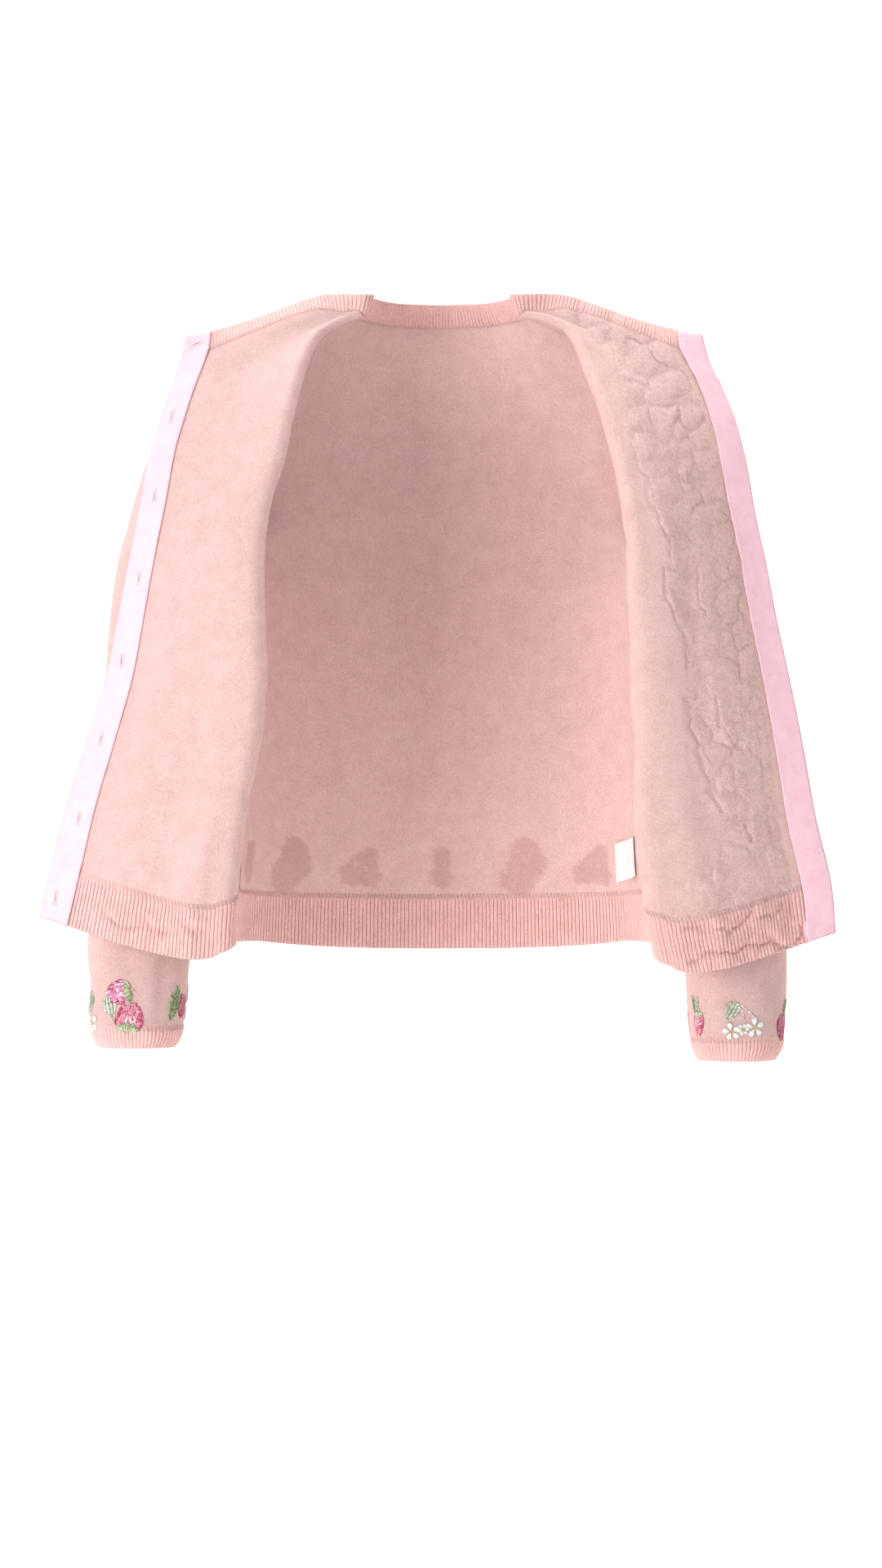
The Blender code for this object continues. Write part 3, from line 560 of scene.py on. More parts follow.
@lru_cache(maxsize=None)
def front_line(side, down):
    """The sizes of one crosswise line of a front: its ends, its fold and the directions between."""
    rows = FRONT_ROWS[side]
    sign = SIGN[side]
    roll = read(rows, "roll", down)
    tilt = math.radians(read(rows, "tilt", down))
    inward = Vector((-sign * math.cos(tilt), 0, -math.sin(tilt)))
    fold = Vector((sign * read(rows, "fold_out", down), read(rows, "fold_y", down),
                   read(rows, "fold_z", down)))
    wave = noise.noise(Vector((down * 13, sign, 7))) + 0.5 * noise.noise(Vector((down * 37, sign, 8)))
    fold.x += sign * FOLD_WAVE * wave * min(1.0, down / FOLD_WAVE_START)
    seam = armhole(side, down, -1)
    edge = Vector((sign * read(rows, "edge_out", down), read(rows, "edge_y", down),
                   read(rows, "edge_z", down)))
    turn = math.radians(read(rows, "turn", down))
    leave = Vector((-sign * math.cos(turn), -math.sin(turn), 0))
    return seam, leave, fold - inward * roll, inward, roll, edge


def creased(creases, across, down):
    """The height of the creases at one place: a narrow trough with a soft rise on either side."""
    height = 0.0
    sway = noise.noise_vector(Vector((across * 32, down * 62, 6)))
    across += sway.x * CREASE_SWAY / FLAP_SCALE
    down += sway.y * CREASE_SWAY / LENGTH_SCALE
    for crease in creases:
        nearest = 1.0
        for (a, b), (c, d) in zip(crease.places, crease.places[1:]):
            x, y = (across - a) * FLAP_SCALE, (down - b) * LENGTH_SCALE
            dx, dy = (c - a) * FLAP_SCALE, (d - b) * LENGTH_SCALE
            s = min(1.0, max(0.0, (x * dx + y * dy) / (dx * dx + dy * dy)))
            nearest = min(nearest, math.hypot(x - dx * s, y - dy * s))
        r = nearest / crease.width
        if r < CREASE_REACH:
            rise = CREASE_RISE * math.exp(-((r - RISE_AT) / RISE_WIDTH) ** 2)
            height += crease.depth * (rise - math.exp(-r * r))
    return height


def worked(side, across, down):
    """How much the embroidery on the right side shows at a place of a front, from 0 to 1."""
    begin = read(WORKED_ROWS[side], "across", down)
    begin += WORKED_WAVE * noise.noise(Vector((down * 60, SIGN[side], 4)))
    inside = min(1.0, max(0.0, (across - begin) / WORKED_EASE))
    before_end = min(1.0, max(0.0, (WORKED_END - across) / WORKED_END_EASE))
    return WORKED_SHARE[side] * inside * before_end


def puckered(side, point):
    """The height of the embroidered patches at a point: low domes between narrow seams."""
    x, y = point.x / PATCH, point.z / PATCH
    sway = noise.noise_vector(Vector((x * 1.6, y * 1.6, 3))) * 0.4
    near = noise.voronoi(Vector((x + sway.x, y + sway.y, SIGN[side] + 2)))[0]
    seam = math.exp(-((near[1] - near[0]) / PATCH_SEAM) ** 2)
    deep = 0.6 + 1.1 * noise.noise(Vector((x * 0.6, y * 0.6, 9)))
    return PATCH_DOME * (0.4 - near[0]) - PUCKER * seam * max(0.0, deep)


def front_point(side, across, down):
    """A point of a front's middle surface, from its armhole or side seam (0) to its edge (1)."""
    seam, leave, centre, inward, roll, edge = front_line(side, down)
    behind = centre + Vector((0, roll, 0))
    before = centre - Vector((0, roll, 0))
    lowness = max(0.0, down - HEM_SAG_START) / (1 - HEM_SAG_START)
    if across <= UNDER_END:
        s = across / UNDER_END
        span = (behind - seam).length
        point = bend(seam, leave * span, behind, inward * span * UNDER_PULL, s)
        point.z = behind.z + (seam.z - behind.z) * (1 - s) ** RIDGE_DIP
        return point
    if across <= ROLL_END:
        angle = math.pi * (across - UNDER_END) / (ROLL_END - UNDER_END)
        corner = Vector((0, roll * math.cos(angle), HEM_CORNER * lowness * math.sin(angle) ** 2))
        return centre + inward * roll * math.sin(angle) + corner
    s = (across - ROLL_END) / (1 - ROLL_END)
    span = (edge - before).length
    arrive = Vector((SIGN[side], EDGE_FLARE, 0)).normalized()
    point = bend(before, -inward * span, edge, arrive * span, s)
    point.z = before.z + (edge.z - before.z) * s
    point.z += read(NECK_ROWS, "rise", s) * fade(down, RISE_REACH)
    point.y += read(NECK_ROWS, "wrap", s) * fade(down, WRAP_REACH)
    sag = math.sin(math.pi * s / math.sqrt(s + HEM_SAG_EASE))
    point.z -= HEM_SAG * sag * lowness
    point.y -= swell(FRONT_FOLDS[side], across, down)
    near_fold = min(1.0, s / SMOOTH_BY_FOLD)
    x, y = point.x, point.z
    ripple = noise.noise(Vector((x * 45, y * 32, 1))) + 0.5 * noise.noise(Vector((x * 110, y * 95, 2)))
    height = FRONT_RIPPLE[side] * ripple + creased(FRONT_CREASES[side], across, down)
    shown = worked(side, across, down)
    if shown:
        height += shown * puckered(side, point)
    point.y -= height * near_fold
    return point


FRONT_ACROSS = (
    steps(0, UNDER_END, 12) + steps(UNDER_END, ROLL_END, 12)[1:] + steps(ROLL_END, 1, 86)[1:])
FRONT_DOWN = steps(0, 1, 240)


def measure(piece, name, values):
    """Give a piece's mesh one number for each of its points."""
    piece.data.attributes.new(name, "FLOAT", "POINT").data.foreach_set("value", values)


fronts = {}
for side in SIGN:
    front = cloth("front_panel_" + side,
                  [[front_point(side, across, down) for across in FRONT_ACROSS]
                   for down in FRONT_DOWN],
                  KNIT, (wool_right, wool_wrong), turned=side == "right")
    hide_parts("front_" + side)
    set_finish(front, "wool_knit")
    measure(front, "worked",
            [worked(side, across, down) for down in FRONT_DOWN for across in FRONT_ACROSS])
    fronts[side] = front

# The sleeves
# Long set-in sleeves of the same wool, each knitted flat and linked along the underarm. They hang
# behind the turned-back fronts and come out below the hem.

SleeveRow = namedtuple("SleeveRow", "down outer_out outer_z inner_out inner_z mid_y lap")
SLEEVE_ROWS = (
    SleeveRow(0.00, 0.180, -0.041, 0.168, -0.205, 0.000, 0.050),
    SleeveRow(0.05, 0.203, -0.053, 0.175, -0.213, 0.000, 0.052),
    SleeveRow(0.11, 0.224, -0.082, 0.179, -0.224, 0.001, 0.052),
    SleeveRow(0.18, 0.240, -0.120, 0.181, -0.240, 0.002, 0.050),
    SleeveRow(0.26, 0.254, -0.166, 0.182, -0.263, 0.002, 0.048),
    SleeveRow(0.35, 0.266, -0.214, 0.183, -0.292, 0.001, 0.046),
    SleeveRow(0.45, 0.272, -0.268, 0.185, -0.330, -0.001, 0.044),
    SleeveRow(0.56, 0.276, -0.330, 0.188, -0.372, -0.005, 0.042),
    SleeveRow(0.68, 0.281, -0.400, 0.193, -0.422, -0.010, 0.040),
    SleeveRow(0.80, 0.285, -0.468, 0.200, -0.476, -0.016, 0.038),
    SleeveRow(0.90, 0.287, -0.530, 0.206, -0.533, -0.020, 0.036),
    SleeveRow(1.00, 0.2845, -0.588, 0.2115, -0.588, -0.024, 0.0330),
    SleeveRow(1.03, 0.2810, -0.5975, 0.2148, -0.5975, -0.0245, 0.0305),
    SleeveRow(1.05, 0.2775, -0.602, 0.2180, -0.602, -0.025, 0.0280),
)

SLEEVE_FOLDS = {
    "right": (
        Fold(0.36, 0.44, 0.0035, 0.13, 0.035, 0.0),
        Fold(0.40, 0.53, -0.0035, 0.15, 0.030, 0.0),
        Fold(0.37, 0.62, 0.0030, 0.12, 0.035, 0.0),
        Fold(0.62, 0.50, 0.0030, 0.12, 0.040, 0.0),
        Fold(0.20, 0.86, -0.0030, 0.06, 0.110, 0.2),
        Fold(0.85, 0.84, 0.0025, 0.09, 0.060, 0.3),
        Fold(0.345, 0.92, -0.0016, 0.028, 0.050, -0.1),
        Fold(0.300, 0.93, 0.0010, 0.022, 0.045, -0.1),
        Fold(0.560, 0.90, -0.0014, 0.040, 0.050, 0.4),
        Fold(0.010, 0.935, -0.0020, 0.080, 0.020, 0.0),
        Fold(0.010, 0.975, 0.0014, 0.080, 0.018, 0.0),
    ),
    "left": (
        Fold(0.37, 0.46, 0.0035, 0.14, 0.035, 0.0),
        Fold(0.41, 0.55, -0.0030, 0.13, 0.035, 0.0),
        Fold(0.35, 0.65, 0.0030, 0.12, 0.030, 0.0),
        Fold(0.63, 0.53, 0.0030, 0.13, 0.040, 0.0),
        Fold(0.27, 0.85, 0.0028, 0.07, 0.070, 0.6),
        Fold(0.80, 0.88, -0.0025, 0.09, 0.060, 0.2),
        Fold(0.160, 0.90, 0.0012, 0.045, 0.020, 2.2),
        Fold(0.250, 0.92, -0.0011, 0.050, 0.018, 2.4),
        Fold(0.620, 0.91, -0.0014, 0.040, 0.045, 0.5),
    ),
}
UNDERARM_ROOM = 0.0014
ARMHOLE_GAP = 0.0008
ARM_SWING = {"right": 0.0, "left": -0.008}
ARM_DROP = {"right": 0.004, "left": -0.006}
SLEEVE_RIPPLE = 0.0005


@lru_cache(maxsize=None)
def sleeve_ring(side, down):
    """The sizes of one ring of a sleeve: its middle, half its width across and its lap."""
    sign = SIGN[side]
    swing = ARM_SWING[side] * down
    drop = ARM_DROP[side] * down
    outer = Vector((sign * (read(SLEEVE_ROWS, "outer_out", down) + swing),
                    read(SLEEVE_ROWS, "mid_y", down), read(SLEEVE_ROWS, "outer_z", down) + drop))
    inner = Vector((sign * (read(SLEEVE_ROWS, "inner_out", down) + swing),
                    read(SLEEVE_ROWS, "mid_y", down), read(SLEEVE_ROWS, "inner_z", down) + drop))
    return (outer + inner) / 2, (outer - inner) / 2, read(SLEEVE_ROWS, "lap", down)


def sleeve_point(side, around, down):
    """A point of a sleeve's middle surface; around runs from 0 at the outer side, by the front, to 1."""
    middle, half, lap = sleeve_ring(side, down)
    angle = 2 * math.pi * around
    spoke = half * math.cos(angle) + Vector((0, -lap * math.sin(angle), 0))
    height = swell(SLEEVE_FOLDS[side], around, down, tube=True)
    height += SLEEVE_RIPPLE * noise.noise(Vector((2 * math.cos(angle), 2 * math.sin(angle), down * 26)))
    point = middle + spoke + spoke.normalized() * height
    if down == 0:
        point.x += SIGN[side] * (ARMHOLE_GAP + UNDERARM_ROOM * (1 - math.cos(angle)) / 2)
    return point


sleeves = {}
for side in SIGN:
    sleeve = cloth("sleeve_tube_" + side,
                   [[sleeve_point(side, around, down) for around in steps(0, 1, 88)]
                    for down in steps(0, 1, 140)],
                   KNIT, (wool_right, wool_wrong), closed=True, turned=side == "right")
    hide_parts("sleeve_" + side)
    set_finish(sleeve, "wool_knit")
    sleeves[side] = sleeve

# The ribbed bands
# A crew neckband, a hem band and two cuffs, knitted one and one, so that ribs stand out on both
# faces. The neckband is linked on, and the hem band and the cuffs grow out of their panels. Ribbing
# that is pulled out flat is about a quarter wider than it lies here.

RIB_KNIT = 0.0022
RIB_RELIEF = 0.00055
RIB_UNEVEN = 0.25
RIB_FULLNESS = 0.7
SUNK_FROM = 0.989
COVERS_FROM = 0.9925
SUNK_SHARE = 0.7
HEM_RIB = 0.0033
NECK_RIB = 0.0030
CUFF_RIB = 0.0032
PER_RIB = 6
NECK_EDGE = -0.04
CUFF_EDGE = 1.05
NECK_GAP = 0.0003
NECK_TURN_LIFT = 0.004


def even(lines, count):
    """The lines of a grid, resampled at even steps along the first of them."""
    marks = running(lines[0])
    result = [[] for _ in lines]
    for k in range(count + 1):
        mark = marks[-1] * k / count
        i = max(0, min(len(marks) - 2, bisect_right(marks, mark) - 1))
        s = (mark - marks[i]) / (marks[i + 1] - marks[i])
        for line, points in zip(lines, result):
            points.append(line[i].lerp(line[i + 1], s))
    return result


def ribbed(lines, pitch, closed=False, plain=0, ease=0.5):
    """A band's lines with its ribs, which rise over a few lines after the plain ones."""
    ribs = round(running(lines[0])[-1] / pitch)
    count = ribs * PER_RIB
    lines = even(lines, count)
    raised = []
    for row, line in enumerate(lines):
        below = lines[min(row + 1, len(lines) - 1)]
        above = lines[max(row - 1, 0)]
        strength = RIB_RELIEF * min(1.0, max(0.0, (row - plain + 0.5) / ease))
        points = []
        for i, point in enumerate(line):
            if closed:
                along = line[(i + 1) % count] - line[(i - 1) % count]
            else:
                along = line[min(count, i + 1)] - line[max(0, i - 1)]
            normal = along.cross(below[i] - above[i]).normalized()
            wave = math.cos(2 * math.pi * i / PER_RIB)
            uneven = 1 + RIB_UNEVEN * noise.noise(Vector((i / PER_RIB * 0.7, row * 0.25, 5)))
            wave = math.copysign(abs(wave) ** RIB_FULLNESS, wave)
            points.append(point + normal * strength * uneven * wave)
        raised.append(points)
    return raised


def sink(band):
    """Thin a band's first line, so that it starts inside its panel's wall and leaves no step."""
    line = band.vertex_groups.new(name="wall")
    marks = band.data.uv_layers["cloth"].data
    top = max(mark.uv.y for mark in marks)
    for loop, mark in zip(band.data.loops, marks):
        line.add([loop.vertex_index], SUNK_SHARE if mark.uv.y > top - SAME_PLACE else 1.0, "REPLACE")
    band.modifiers["wall"].vertex_group = "wall"


# The ribs' pink is redder than the body's wool, standing in for the light that bounces between the ribs:
# painted light.
RIB_SALMON = (0.960, 0.575, 0.550)
# Both rib finishes paint the grooves between the ribs darker: painted shade.
rib_right = wool("rib knit right side", RIB_SALMON, 0.0016, 0.0012, grooves="right groove painted shade")
rib_wrong = wool("rib knit wrong side", RIB_SALMON, 0.0016, 0.0012, grooves="wrong groove painted shade")


def groove(band, turned=False, plain=0):
    """Note where a band's grooves lie on its right and its wrong side, to paint them darker there as
    painted shade.
    """
    facing = -1 if turned else 1
    waves = []
    for row, column in zip(band.data.attributes["row"].data, band.data.attributes["column"].data):
        wave = facing * math.cos(2 * math.pi * column.value / PER_RIB)
        waves.append(wave if row.value >= plain else 0.0)
    measure(band, "right groove painted shade", [max(0.0, -wave) for wave in waves])
    measure(band, "wrong groove painted shade", [max(0.0, wave) for wave in waves])


def neckband_step(side, across):
    """The step from the neckline's seam on a front to the band's free edge."""
    sign = SIGN[side]
    along = max(0.0, (across - ROLL_END) / (1 - ROLL_END))
    turned = Vector((sign * read(NECK_ROWS, "free_out", along),
                     read(NECK_ROWS, "free_y", along), read(NECK_ROWS, "free_z", along)))
    seam, free = back_neck(sign)
    standing = max(0.0, (ROLL_END - across) / (ROLL_END - UNDER_END))
    step = turned.lerp(free - seam, standing)
    step.z += NECK_TURN_LIFT * math.sin(math.pi * standing)
    return step


seam_line = []
free_line = []
for side in SIGN:
    half_seam = []
    half_free = []
    for across in reversed(steps(UNDER_END, ROLL_END, 14)[:-1] + steps(ROLL_END, 1, 60)):
        seam = front_point(side, across, 0)
        step = neckband_step(side, across)
        half_seam.append(seam + step.normalized() * NECK_GAP)
        half_free.append(seam + step)
    for k in range(1, 40):
        seam, free = back_neck(SIGN[side] * (1 - k / 40))
        half_seam.append(seam + (free - seam).normalized() * NECK_GAP)
        half_free.append(free)
    if side == "right":
        seam_line += half_seam
        free_line += half_free
    else:
        seam_line += half_seam[::-1]
        free_line += half_free[::-1]
band_lines = [[a.lerp(b, s) for a, b in zip(seam_line, free_line)] for s in steps(0, 1, 7)]
neckband = cloth("neckband_rib", ribbed(band_lines, NECK_RIB), RIB_KNIT, (rib_right, rib_wrong),
                 turned=True)
groove(neckband, turned=True)
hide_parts("neckband")
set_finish(neckband, "wool_rib")

hem_lines = []
for down in [SUNK_FROM, COVERS_FROM] + steps(1, HEM_EDGE, 17):
    line = [front_point("right", across, down) for across in reversed(FRONT_ACROSS)]
    line += [back_point(across, down) for across in BACK_ACROSS[1:-1]]
    line += [front_point("left", across, down) for across in FRONT_ACROSS]
    hem_lines.append(line)
hem_band = cloth("hem_rib", ribbed(hem_lines, HEM_RIB, plain=1, ease=1), RIB_KNIT,
                 (rib_right, rib_wrong))
sink(hem_band)
groove(hem_band, plain=2)
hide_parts("hem_band")
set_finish(hem_band, "wool_rib")

cuffs = {}
for side in SIGN:
    lines = [[sleeve_point(side, around, down) for around in steps(0, 1, 240)]
             for down in [SUNK_FROM, COVERS_FROM] + steps(1, CUFF_EDGE, 7)]
    cuff = cloth("cuff_rib_" + side, ribbed(lines, CUFF_RIB, closed=True, plain=1, ease=1.5),
                 RIB_KNIT, (rib_right, rib_wrong), closed=True, turned=side == "right")
    sink(cuff)
    groove(cuff, turned=side == "right", plain=2)
    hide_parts("cuff_" + side)
    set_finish(cuff, "wool_rib")
    cuffs[side] = cuff

# The linked seams
# Rows of chain stitch in the same wool that join the panels on the wrong side, round the neck, over
# the shoulders and down the sides, and on both sides round the armholes.


def stitch(mesh, start, end, width, height, out, colour=None):
    """One stitch of thread: a slim rounded bead from start to end that stands out of the cloth."""
    along = end - start
    out = (out - along * (out.dot(along) / along.length_squared)).normalized()
    side = out.cross(along.normalized())
    middle = (start + end) / 2
    place = Matrix((
        (along.x / 2, side.x * width / 2, out.x * height / 2, middle.x),
        (along.y / 2, side.y * width / 2, out.y * height / 2, middle.y),
        (along.z / 2, side.z * width / 2, out.z * height / 2, middle.z),
        (0, 0, 0, 1)))
    bead = bmesh.ops.create_icosphere(mesh, subdivisions=1, radius=1, matrix=place)
    if colour is not None:
        thread = mesh.verts.layers.float_color["thread"]
        for vert in bead["verts"]:
            vert[thread] = (*colour, 1)


def sewn(name, mesh, finish, slot):
    """The piece that a mesh of stitches becomes."""
    piece = made_from(name, mesh, (finish,))
    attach(piece, "root")
    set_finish(piece, slot)
    return piece


def yarn(name, colour, roughness=0.85):
    """Plain spun thread with a soft fleck."""
    node, _, blend, finish = finish_nodes(name)
    place = node("TexCoord", {})["Object"]
    fleck = node("TexNoise", {"Vector": place, "Scale": 1800, "Detail": 2})[0]
    return finish({
        "Base Color": blend(fleck, (0.3, [c * 0.88 for c in colour]),
                            (0.7, [min(1, c * 1.06) for c in colour])),
        "Normal": node("Bump", {"Height": fleck, "Strength": 0.5, "Distance": 0.0002})[0],
        "Roughness": roughness, "Specular IOR Level": 0.2})


seam_yarn = yarn("seam yarn", (0.80, 0.53, 0.50))
SEAM_STITCH = 0.0032
SEAM_STEP = 0.0019
SEAM_YARN_WIDTH = 0.0013
SEAM_YARN_HEIGHT = 0.0011
NECK_MIDDLE = Vector((0, 0.03, -0.03))
NECK_SIDE = 0.068
TURNED_FROM = 0.075


def chain(mesh, points, outs):
    """A row of slanting chain stitches along a seam."""
    marks = running(points)
    for k in range(int(marks[-1] / SEAM_STEP)):
        mark = (k + 0.5) * SEAM_STEP
        i = min(len(points) - 2, bisect_right(marks, mark) - 1)
        s = (mark - marks[i]) / (marks[i + 1] - marks[i])
        middle = points[i].lerp(points[i + 1], s)
        along = (points[i + 1] - points[i]).normalized()
        out = outs[i]
        across = along.cross(out).normalized()
        lean = (across * 0.8 + along * 0.6).normalized() * SEAM_STITCH / 2
        stitch(mesh, middle - lean, middle + lean, SEAM_YARN_WIDTH, SEAM_YARN_HEIGHT, out)


seams = bmesh.new()
behind_neck = [a for a in seam_line if a.y >= 0.001 and abs(a.x) < NECK_SIDE]
chain(seams, [a + (NECK_MIDDLE - a).normalized() * 0.0011 for a in behind_neck],
      [(NECK_MIDDLE - a).normalized() for a in behind_neck])
for side in SIGN:
    sign = SIGN[side]
    turned_out = [a.lerp(b, 0.03) + Vector((0, -0.0013, 0)) for a, b in zip(seam_line, free_line)
                  if a.y < 0.02 and a.x * sign > TURNED_FROM]
    chain(seams, turned_out, [Vector((0, -1, 0))] * len(turned_out))
    shoulder = [back_top(sign * across) for across in steps(NECK_SHARE, 1, 40)]
    chain(seams, [p + Vector((0, -0.0009, -0.0016)) for p in shoulder],
          [Vector((0, 0, -1))] * len(shoulder))
    side_seam = [armhole(side, down, 1) for down in steps(UNDERARM, 1, 60)]
    chain(seams, [p + Vector((-sign * 0.0013, -SIDE_GAP, 0)) for p in side_seam],
          [Vector((-sign, 0, 0))] * len(side_seam))
    ring = [sleeve_point(side, around, 0) for around in steps(0, 1, 160)]
    centre = sum(ring, Vector()) / len(ring)
    chain(seams, [p + (centre - p).normalized() * 0.0016 for p in ring],
          [(centre - p).normalized() for p in ring])
    chain(seams, [p + (p - centre).normalized() * 0.0004 - Vector((sign * 0.0008, 0, 0)) for p in ring],
          [(p - centre).normalized() for p in ring])
sewn("linked_seams", seams, seam_yarn, "wool_knit")

# The ribbon facings
# Two lengths of cool pink grosgrain ribbon, sewn by machine down the wrong side of the front edges,
# turned under at both ends. The wearer's right one carries the buttonholes.

RIBBON_WIDTH = 0.025
RIBBON = 0.0008
RIBBON_INSET = 0.0012
RIBBON_MIDDLE = 0.0135
RIBBON_LIFT_BODY = 0.0019
RIBBON_LIFT_BAND = 0.0024
RIBBON_RIPPLE = 0.00018
RIBBON_FINE_RIPPLE = 0.00012
NORMAL_STEP = 0.002
RibbonCrease = namedtuple("RibbonCrease", "side down height width slant")
RIBBON_CREASES = (
    RibbonCrease("left", 0.030, 0.0007, 0.006, 0.4),
    RibbonCrease("left", 0.050, 0.0005, 0.005, -0.3),
    RibbonCrease("left", 0.982, 0.0008, 0.005, 0.2),
    RibbonCrease("left", 1.028, 0.0008, 0.006, -0.3),
    RibbonCrease("right", 0.010, 0.0006, 0.006, 0.1),
    RibbonCrease("right", 0.995, 0.0006, 0.006, 0.3),
    RibbonCrease("right", 0.700, 0.0003, 0.010, 0.2),
    RibbonCrease("right", 0.360, 0.0003, 0.012, -0.2),
    RibbonCrease("left", 0.400, 0.0003, 0.012, 0.3),
)


def front_surface(side, from_edge, down):
    """A point near a front's edge, by its distance from the edge; down is below zero on the neckband."""
    edge = front_point(side, 1, max(0.0, down))
    span = (edge - front_point(side, ROLL_END, max(0.0, down))).length
    across = 1 - (1 - ROLL_END) * from_edge / span
    point = front_point(side, across, max(0.0, down))
    if down < 0:
        point += neckband_step(side, across) * (down / NECK_EDGE)
    return point


def front_normal(side, from_edge, down):
    """The direction that a turned-back front's wrong side faces."""
    here = front_surface(side, from_edge, down)
    sideways = front_surface(side, from_edge + NORMAL_STEP, down) - here
    downwards = front_surface(side, from_edge, down + NORMAL_STEP) - here
    normal = sideways.cross(downwards).normalized()
    return normal if normal.y < 0 else -normal


def on_ribbon(side, from_edge, down, lift=0.0):
    """A point on a ribbon's face, with the direction that it faces."""
    on_neckband = fade(down, 0.02) if down > 0 else 1.0
    on_hem_band = 1 - fade(down - 0.985, 0.015) if down > 0.985 else 0.0
    band = min(1.0, max(on_neckband, on_hem_band))
    body = RIBBON_LIFT_BODY + (RIBBON_LIFT_BAND - RIBBON_LIFT_BODY) * band
    height = RIBBON_RIPPLE * noise.noise(Vector((from_edge * 160, down * 46, SIGN[side])))
    height += RIBBON_FINE_RIPPLE * noise.noise(Vector((from_edge * 60, down * 150, SIGN[side] + 4)))
    for crease in RIBBON_CREASES:
        if crease.side == side:
            away = (down - crease.down) * LENGTH_SCALE + crease.slant * (from_edge - RIBBON_MIDDLE)
            height += crease.height * math.exp(-(away / crease.width * 2) ** 2)
    out = front_normal(side, from_edge, down)
    return front_surface(side, from_edge, down) + out * (body + height + lift), out


def grosgrain(name, colour):
    """Ribbon woven with fine cross ribs, with a faint sheen and a firm edge."""
    node, calc, blend, finish = finish_nodes(name)
    place = node("SeparateXYZ", {0: node("UVMap", {}, uv_map="cloth")[0]})
    cloudy = node("TexNoise", {"Vector": node("TexCoord", {})["Object"], "Scale": 90, "Detail": 4})[0]
    ribs = calc("ABSOLUTE", calc("SINE", calc("MULTIPLY", place["Y"], math.pi / 0.0011)))
    threads = calc("ABSOLUTE", calc("SINE", calc("MULTIPLY", place["X"], math.pi / 0.0005)))
    weave = calc("ADD", ribs, calc("MULTIPLY", threads, 0.25))
    # Painted shade: the hollows between the ribs are a little darker than their crests.
    tone = calc("ADD", calc("MULTIPLY", cloudy, 0.7), calc("MULTIPLY", ribs, 0.3))
    return finish({
        "Base Color": blend(tone, (0.25, shade_of(colour, 0.93, 0.88, 0.90)),
                            (0.75, shade_of(colour, 1.02, 1.06, 1.05))),
        "Normal": node("Bump", {"Height": weave, "Strength": 0.45, "Distance": 0.0003})[0],
        "Roughness": 0.62, "Specular IOR Level": 0.3, "Sheen Weight": 0.15, "Sheen Roughness": 0.4})


ribbon_pink = grosgrain("pink grosgrain", (0.95, 0.60, 0.68))
ribbon_thread = yarn("pink sewing thread", (0.88, 0.58, 0.64), 0.5)
RIBBON_ACROSS = steps(RIBBON_INSET, RIBBON_INSET + RIBBON_WIDTH, 16)
RIBBON_DOWN = steps(NECK_EDGE + 0.002, HEM_EDGE - 0.002, 220)
for side in SIGN:
    lines = [[on_ribbon(side, from_edge, down)[0] for from_edge in RIBBON_ACROSS]
             for down in RIBBON_DOWN]
    ribbon = cloth("ribbon_facing_" + side, lines, RIBBON, (ribbon_pink,))
    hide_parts("ribbon_" + side)
    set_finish(ribbon, "ribbon")

# Straight machine stitching along both edges of each ribbon and across its turned-in ends
STITCH = 0.0026
STITCH_STEP = 0.0034
THREAD_WIDTH = 0.0004
THREAD_HEIGHT = 0.0003
THREAD_LIFT = 0.0004
END_STITCHES = 6
EDGE_SEAMS = (RIBBON_INSET + 0.0016, RIBBON_INSET + RIBBON_WIDTH - 0.0016)
END_SEAMS = (NECK_EDGE + 0.012, HEM_EDGE - 0.014)


def machined(mesh, side, start, end):
    """One machine stitch between two places on a ribbon, each by its distance from the edge and down."""
    first, out = on_ribbon(side, *start, THREAD_LIFT)
    last, out = on_ribbon(side, *end, THREAD_LIFT)
    stitch(mesh, first, last, THREAD_WIDTH, THREAD_HEIGHT, out)


rows = bmesh.new()
for side in SIGN:
    for from_edge in EDGE_SEAMS:
        reach = (HEM_EDGE - NECK_EDGE) * LENGTH_SCALE
        for k in range(int(reach / STITCH_STEP)):
            down = NECK_EDGE + 0.006 + k * STITCH_STEP / LENGTH_SCALE
            if down < HEM_EDGE - 0.01:
                machined(rows, side, (from_edge, down), (from_edge, down + STITCH / LENGTH_SCALE))
    for down in END_SEAMS:
        for k in range(END_STITCHES):
            from_edge = EDGE_SEAMS[0] + 0.001 + k * STITCH_STEP * 1.1
            machined(rows, side, (from_edge, down), (from_edge + STITCH, down))
sewn("edge_stitching", rows, ribbon_thread, "ribbon")

# Worked buttonholes down the right ribbon: a slit with close satin stitch all round it, and a dark bead
# of painted shadow down the slit
Buttonhole = namedtuple("Buttonhole", "down from_edge lean turned")
BUTTONHOLES = (
    Buttonhole(-0.020, 0.0140, 0.0, True),
    Buttonhole(0.121, 0.0125, 0.05, False),
    Buttonhole(0.275, 0.0140, 0.08, False),
    Buttonhole(0.434, 0.0145, 0.10, False),
    Buttonhole(0.590, 0.0125, 0.10, False),
    Buttonhole(0.742, 0.0135, 0.10, False),
    Buttonhole(0.899, 0.0145, 0.08, False),
    Buttonhole(1.050, 0.0110, 0.05, False),
)
SLIT = 0.0100
SLIT_HALF = 0.0002
HOLE_HALF = 0.0021
HOLE_STITCHES = 46
TWIST = 0.0005
TWIST_AT_ENDS = 0.0006
TWIST_LIFT = 0.0005


def beside_slit(hole, x, y):
    """A place on the ribbon beside a buttonhole's middle, across its slit and along it."""
    if hole.turned:
        x, y = y, x
    return on_ribbon("right", hole.from_edge + x + hole.lean * y, hole.down + y / LENGTH_SCALE,
                     TWIST_LIFT)


